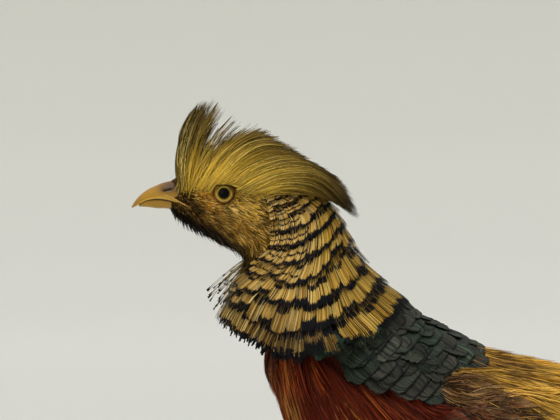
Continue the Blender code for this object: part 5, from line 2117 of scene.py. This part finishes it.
# %% Coverts over and under the tail
def lay_upper_coverts(coat):
    """Narrow feathers fanned over the tail's root, gold at the foot and scarlet at the tip."""
    rng = np.random.default_rng(101)
    count = 46
    share = np.linspace(0, 1, 14)
    spot = rng.permutation(np.linspace(-1, 1, count))
    length = (62 + 42 * rng.random(count) * (1 - 0.4 * np.abs(spot))) * MM
    across = (spot * 21 * MM)[:, None] * (1 - 0.18 * share[None, :])
    level = (3.3 + 1.5 * rng.random(count))[:, None] * MM - 1.4 * MM * share[None, :]
    s = length[:, None] * share[None, :]
    path = tail_at(s, across, level)
    above = tail_at(s, across, level + 1 * MM)
    ups = unit(above - path)
    ways = unit(np.gradient(path, axis=1))
    base = blend(tint(178, 112, 44), tint(120, 58, 26), rng.random(count) * 0.8)
    add_vanes(coat, path[:, 0], path, ways, ups, rng.uniform(6.5, 9, count) * MM,
              vane_paint(base, tint(158, 34, 16), 0.9, start=0.45), 102, columns=7,
              square=1.7, stem=0.5, camber=0.2, ragged=0.10)


def on_undertail(places):
    """Below the tail's root, behind the trunk."""
    middle = TAIL_ROOT_HEIGHT - 0.16 * (places[:, 1] - TAIL_START)
    return (places[:, 1] > 0.088) & (places[:, 1] < 0.185) & (places[:, 2] < middle - 9 * MM)


def lay_under_coverts(coat):
    """Soft red feathers under the tail's root."""
    grow_silk(coat, form, on_undertail, 3.4 * MM, 103, between(24, 40),
              mixed(tint(136, 46, 22), tint(92, 40, 24)), steps=7, sink=2.5 * MM,
              rise=0.2 * MM, sway=0.10, strands=7, wide=0.18, fan=0.05, ribbon=0.8 * MM,
              ragged=0.35, loft=0.4 * MM, narrow=0.4, shade=(0.3, 0.4, 0.08))


# %% Side plumes
def lay_plumes(coat):
    """Six narrow orange-red plumes on each side."""
    rng = np.random.default_rng(111)
    steps = 22
    share = np.linspace(0, 1, steps)
    for side in (1, -1):
        mix = np.linspace(0, 1, 6)
        length = 0.188 - 0.040 * mix + rng.uniform(-4, 0, 6) * MM
        droop = np.radians(15 + 9 * mix)
        spread = np.radians(8 + 2 * mix)
        root = np.stack([side * (0.0285 + 0.003 * mix), 0.098 + 0.010 * mix,
                         0.1900 - 0.0135 * mix], axis=1)
        along = np.stack([side * np.sin(spread), np.cos(droop), -np.sin(droop)], axis=1)
        lean = math.radians(32)
        flat = np.array([side * math.cos(lean), 0.0, math.sin(lean)])
        up = unit(np.cross(flat, along)) * side
        path = (root[:, None, :] + along[:, None, :] * (length[:, None] * share)[..., None]
                - up[:, None, :] * (10 * MM * share ** 2)[None, :, None])
        path = path + flat * (np.array([0.0, 0.5, -0.4, 0.6, -0.5, 0.2]) * MM)[:, None, None]
        ways = unit(np.gradient(path, axis=1))
        ups = np.broadcast_to(flat, path.shape).copy()
        base = blend(tint(160, 52, 20), tint(178, 84, 32), mix * 0.5)
        add_vanes(coat, path[:, 0], path, ways, ups, np.full(6, 8.5 * MM),
                  vane_paint(base, tint(122, 26, 14), 0.6, shaft=-0.35), 112, columns=7,
                  square=1.5, stem=0.35, camber=0.3, ragged=0.14)
        for k in range(6):
            hairs = 90
            foot = rng.integers(2, steps - 3, hairs)
            edge = rng.choice([-1.0, 1.0], hairs)
            here = path[k, foot]
            way = unit(ways[k, foot] + np.cross(ways[k, foot], ups[k, foot])
                       * (edge * rng.uniform(0.2, 0.45, hairs))[:, None])
            size = rng.uniform(7, 14, hairs) * MM
            reach = np.linspace(0, 1, 5)
            line = here[:, None, :] + way[:, None, :] * (size[:, None] * reach)[..., None]
            line += flat * rng.normal(0, 0.5, (hairs, 1, 1)) * MM
            thin = 0.2 * MM * np.linspace(1, 0.2, 5)[:, None]
            wide = np.cross(way, flat)[:, None, :] * thin
            tone = base[k] * np.exp(rng.normal(0, 0.25, (hairs, 1, 1)))
            inner = rng.random((hairs, 1, 1)) + STRIP_WIDTH
            add_strips(coat, line, wide, tone, reach, here, inner)


upper_coverts = Plumage("tail_covert_coat", VANE, "plume_feathers")
lay_upper_coverts(upper_coverts)
upper_coverts.finish_piece("tail_coverts_upper")
under_coverts = Plumage("undertail_coat", SILK, "plume_feathers")
lay_under_coverts(under_coverts)
under_coverts.finish_piece("tail_coverts_under")
plumes = Plumage("side_plumes", VANE, "plume_feathers")
lay_plumes(plumes)
plumes.finish_piece(*[f"plume_{word}_{k}" for word in ("left", "right") for k in (1, 2)])


# %% [markdown]
# ## Thighs and legs
# Short chestnut and buff feathers clothe the thighs down to the hock. Below it the shank is
# bare and scaly: broad overlapping plates in front, small ones behind, a spur at the back,
# and four toes with plates above and curved dark claws.

# %% Thigh coat
def on_thigh(places):
    """The two feathered upper legs."""
    return (places[:, 2] < 0.140) & (np.abs(places[:, 0]) > 0.010) & (
        np.abs(places[:, 1] - 0.004) < 0.040)


def thigh_length(roots, rng):
    """Thigh locks get shorter down to the hock."""
    long = np.clip((roots[:, 2] - 0.108) * 0.9, 5 * MM, 15 * MM)
    return long * rng.uniform(0.8, 1.2, len(roots))


def grow_thighs(coat):
    """Short dense locks down to the hock."""
    grow_silk(coat, form, on_thigh, 2.2 * MM, 121, thigh_length,
              mixed(tint(132, 66, 34), tint(170, 124, 76), 1.5), steps=5, sink=1.8 * MM,
              rise=0.3 * MM, sway=0.14, strands=6, wide=0.25, fan=0.06, ribbon=0.55 * MM,
              ragged=0.35, loft=0.3 * MM, narrow=0.4, shade=(0.28, 0.4, 0.07))


thigh_coat = Plumage("thigh_coat", SILK, "breast_feathers")
grow_thighs(thigh_coat)
thigh_coat.finish_piece()


# %% Shanks and feet
LEG_HORN = grained_finish("scaly_leg", 0.5, 700.0, (1.0, 1.0, 1.0), 0.14, 0.35, coat=0.1,
                          cells=900.0)
CLAW_HORN = grained_finish("claw_horn", 0.35, 900.0, (1.0, 1.0, 0.4), 0.16, 0.1, coat=0.3)
LEG_TONE = tint(150, 126, 82)
UPWARD = np.array([0.0, 0.0, 1.0])
BASE_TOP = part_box("stand_base")[1].z


def make_leg(word, side, foot_y):
    """Shank, spur, toes and claws of one leg."""
    horn = Shell(f"scaly_leg_{word}", LEG_HORN, "leg_scales")
    claws = Shell(f"claws_{word}", CLAW_HORN, "leg_scales")
    hock = np.array([side * 0.028, foot_y + 0.024, 0.113])
    ankle = np.array([side * 0.030, foot_y, 0.0340])
    share = np.linspace(0, 1, 90)
    path = hock + (ankle - hock) * share[:, None]
    radii = through([0, 0.06, 0.16, 0.4, 0.75, 0.92, 1.0],
                    np.array([4.9, 5.2, 4.0, 3.4, 3.3, 3.9, 4.3])[:, None], share)[:, 0] * MM
    front = np.array([0.0, -1.0, 0.0])
    rings, shade = tube(path, radii, 4.2 * MM, front, flat=0.86)
    horn.add_rings(rings, LEG_TONE * shade)
    back = unit(np.array([-side * 0.35, 1.0, 0.15]))
    start = hock + (ankle - hock) * 0.62
    reach = np.linspace(0.5, 10.4, 22)[:, None]
    spur = start + (back * reach + np.array([0, 0, 0.02]) * reach ** 2) * MM
    size = np.interp(reach[:, 0], [0.5, 4, 7, 10.4], [2.3, 1.9, 1.3, 0.25]) * MM
    rings, _ = tube(spur, size, NO_PLATES, UPWARD, 14, depth=0)
    claws.add_rings(rings, blend(LEG_TONE, tint(92, 74, 52), np.clip(reach / 8, 0, 1)))
    knuckle = np.array([side * 0.030, foot_y, BASE_TOP + 0.0036])
    ball = ankle + (knuckle - ankle) * np.linspace(0, 1, 10)[:, None]
    rings, shade = tube(ball, np.interp(np.linspace(0, 1, 10), [0, 0.5, 1],
                                        [4.3, 5.0, 4.0]) * MM, 3.5 * MM, front)
    horn.add_rings(rings, LEG_TONE * shade)
    toes = ((0.05, 44), (-0.62 * side, 34), (0.66 * side, 37), (math.pi - 0.25 * side, 17))
    for turn, long in toes:
        aim = np.array([math.sin(turn), -math.cos(turn), 0.0])
        share = np.linspace(0, 1, 46)
        lump = 1 + 0.13 * np.cos(share * 2 * math.pi * (3 if long > 20 else 1.5))
        radii = (3.3 - 1.45 * share) * lump * MM
        run = knuckle * np.array([1, 1, 0]) + aim * (long * MM * share)[:, None]
        run[:, 2] = BASE_TOP + 0.1 * MM + radii * 1.02 + 0.9 * MM * np.abs(
            np.sin(share * math.pi * 1.5)) * (long > 20)
        rings, shade = tube(run, radii, 2.4 * MM, UPWARD, 18)
        rings[..., 2] = np.maximum(rings[..., 2], BASE_TOP + 0.12 * MM)
        horn.add_rings(rings, LEG_TONE * shade)
        t = np.linspace(0, 1, 24)
        claw = run[-1] + aim * ((t * 7.5 - 1.5) * MM)[:, None]
        claw[:, 2] += (1.5 * np.sin(t * math.pi * 0.9) - 1.1 * t) * MM
        size = 1.75 * (1 - t ** 1.6) * MM + 0.08 * MM
        claw[:, 2] = np.maximum(claw[:, 2], BASE_TOP + size + 0.1 * MM)
        rings, _ = tube(claw, size, NO_PLATES, UPWARD, 14, flat=0.75, depth=0)
        claws.add_rings(rings, blend(tint(112, 92, 62), tint(44, 34, 26), t[:, None]))
    horn.finish_piece(f"tarsus_{word}", f"foot_{word}")
    claws.finish_piece()


make_leg("left", 1, -0.008)
make_leg("right", -1, 0.012)

# %% [markdown]
# ## The wooden base
# The bird stands on a plain varnished board with a moulded edge. The board is lofted from
# rounded rectangles whose inset follows the moulding. The grain runs along the board as
# long, slightly wavy rings of light and dark, with short open pores.


# %% Make the base
def wood_finish():
    """Dark stained hardwood under a thin satin varnish."""
    material, tree, shader = finish("base_wood", 0.38, coat=0.25, specular=0.45)
    where = object_places(tree)
    slow = noise(tree, squeezed(tree, where, (26.0, 1.6, 34.0)), 1.2, 3.0, twist=0.6)
    rings = maths(tree, "SINE", maths(tree, "MULTIPLY", slow, 46.0))
    pores = noise(tree, squeezed(tree, where, (2400.0, 90.0, 2400.0)), 1.0, 2.0)
    grain = maths(tree, "MULTIPLY_ADD", pores, 0.9, 0.05)
    grain = maths(tree, "MULTIPLY_ADD", rings, 0.22, grain)
    mask = node_of(tree, "ShaderNodeClamp")
    tree.links.new(grain, mask.inputs["Value"])
    wood = mix_colours(tree, mask.outputs[0], tuple(tint(58, 34, 20)), tuple(tint(132, 84, 48)))
    colour = mix_colours(tree, 1.0, wood, stored(tree, "paint").outputs["Color"], "MULTIPLY")
    tree.links.new(colour, shader.inputs["Base Color"])
    lift_bump(tree, shader, pores, 0.25)
    return material


def make_base():
    """A board with a rounded top edge over a small step."""
    low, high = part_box("stand_base")
    profile = [(1.6, 0.0), (0.2, 1.2), (0.0, 2.4), (0.0, 13.0), (0.2, 14.6), (1.0, 15.6),
               (2.6, 16.0), (2.9, 16.4), (3.0, 17.4), (3.5, 20.4), (4.8, 23.0), (6.6, 24.8),
               (9.0, 25.8), (11.5, 26.0)]
    rings = []
    edge_tone = []
    corner = 7 * MM
    for inset, height in profile:
        ring = []
        half_x = high.x - inset * MM
        half_y = (high.y - low.y) / 2 - inset * MM
        radius = max(corner - inset * MM * 0.4, 1 * MM)
        middle = (high.y + low.y) / 2
        for sx, sy, begin in ((1, 1, 0), (-1, 1, 90), (-1, -1, 180), (1, -1, 270)):
            for k in range(9):
                angle = math.radians(begin + 90 * k / 8)
                ring.append((sx * (half_x - radius) + radius * math.cos(angle),
                             middle + sy * (half_y - radius) + radius * math.sin(angle),
                             height * MM))
        rings.append(ring)
        # the moulding's edge rings painted lighter, 1.35 times
        edge_tone.append(1.35 if height in (14.6, 15.6, 2.4, 20.4) else 1.0)
    shell = Shell("stand_board", wood_finish(), "base_wood")
    shell.add_rings(rings, np.array(edge_tone)[:, None, None])
    shell.finish_piece("stand_base")


make_base()

# %% [markdown]
# ## Room, light and camera
# The studio is one seamless pale bowl: a flat floor that curves up all round, so that no
# edge shows from any side. A wide soft panel overhead gives the even top light, and a second
# one gives the soft glow on the side that faces the camera.

# %% The stage
def make_bowl():
    """A floor that sweeps up into a wall all the way round."""
    profile = [(0.0, 0.0), (2.0, 0.0), (5.0, 0.0), (6.2, 0.15), (7.2, 0.7), (7.8, 1.6),
               (8.0, 2.8), (8.0, 5.5)]
    shape = bmesh.new()
    rings = []
    for radius, height in profile[1:]:
        ring = []
        for k in range(96):
            angle = 2 * math.pi * k / 96
            ring.append(shape.verts.new((radius * math.cos(angle), radius * math.sin(angle),
                                         height)))
        rings.append(ring)
    middle = shape.verts.new((0.0, 0.0, 0.0))
    for k in range(96):
        shape.faces.new((rings[0][k], rings[0][(k + 1) % 96], middle))
    for low, high in zip(rings, rings[1:]):
        for k in range(96):
            shape.faces.new((low[k], low[(k + 1) % 96], high[(k + 1) % 96], high[k]))
    bmesh.ops.recalc_face_normals(shape, faces=shape.faces)
    mesh = bpy.data.meshes.new("stage_bowl")
    shape.to_mesh(mesh)
    shape.free()
    mesh.shade_smooth()
    material, tree, shader = finish("pale_backdrop", 0.9)
    place = node_of(tree, "ShaderNodeNewGeometry")
    reach = node_of(tree, "ShaderNodeVectorMath", operation="LENGTH")
    tree.links.new(place.outputs["Position"], reach.inputs[0])
    # the floor painted darker near the bird: a painted pool of shade round it
    far = maths(tree, "SMOOTH_MIN", maths(tree, "DIVIDE", reach.outputs["Value"], 3.2), 1.0, 0.3)
    tone = mix_colours(tree, far, tuple(tint(206, 205, 200)), tuple(tint(248, 248, 244)))
    axes = node_of(tree, "ShaderNodeSeparateXYZ")
    tree.links.new(place.outputs["Position"], axes.inputs[0])
    # the wall painted darker higher up: painted shade where the light falls off
    high = maths(tree, "SMOOTH_MIN", maths(tree, "MULTIPLY", axes.outputs["Z"], 0.75), 1.0, 0.1)
    tone = mix_colours(tree, high, tone, tuple(tint(236, 236, 229)))
    tree.links.new(tone, shader.inputs["Base Color"])
    mesh.materials.append(material)
    bowl = bpy.data.objects.new("stage_bowl", mesh)
    bpy.context.scene.collection.objects.link(bowl)


make_bowl()


# %% Lights
BIRD_MIDDLE = (0.0, -0.1, 0.25)
PANEL_SIZE = 1.2


def soft_panel(name, place, watts):
    """A square soft light that faces the middle of the bird."""
    lamp = bpy.data.lights.new(name, "AREA")
    lamp.shape = "SQUARE"
    lamp.size = PANEL_SIZE
    lamp.energy = watts
    panel = bpy.data.objects.new(name, lamp)
    panel.location = place
    look = Vector(BIRD_MIDDLE) - Vector(place)
    panel.rotation_euler = look.to_track_quat("-Z", "Y").to_euler()
    bpy.context.scene.collection.objects.link(panel)


soft_panel("overhead_panel", (0.25, -0.25, 1.7), 17.0)
soft_panel("side_panel", (1.7, -0.9, 0.75), 6.5)
world = bpy.data.worlds.new("studio_air")
world.use_nodes = True
world.node_tree.nodes["Background"].inputs["Color"].default_value = (0.97, 0.965, 0.95, 1.0)
world.node_tree.nodes["Background"].inputs["Strength"].default_value = 0.82
bpy.context.scene.world = world
bpy.context.scene.view_settings.view_transform = "Standard"

# %% The camera
VIEW_DISTANCE = 0.8
VIEW_CENTRE = (-0.1218, 0.2981)     # y and z that the camera looks at
VIEW_WIDTH = 0.2352                 # how much of the bird fills the picture's width
SENSOR = 36.0
camera_data = bpy.data.cameras.new("camera")
camera_data.sensor_width = SENSOR
camera_data.lens = SENSOR * VIEW_DISTANCE / VIEW_WIDTH
camera_data.clip_end = 40.0
camera = bpy.data.objects.new("camera", camera_data)
camera.location = (VIEW_DISTANCE, *VIEW_CENTRE)
camera.rotation_euler = (math.radians(90), 0.0, math.radians(90))
bpy.context.scene.collection.objects.link(camera)
bpy.context.scene.camera = camera
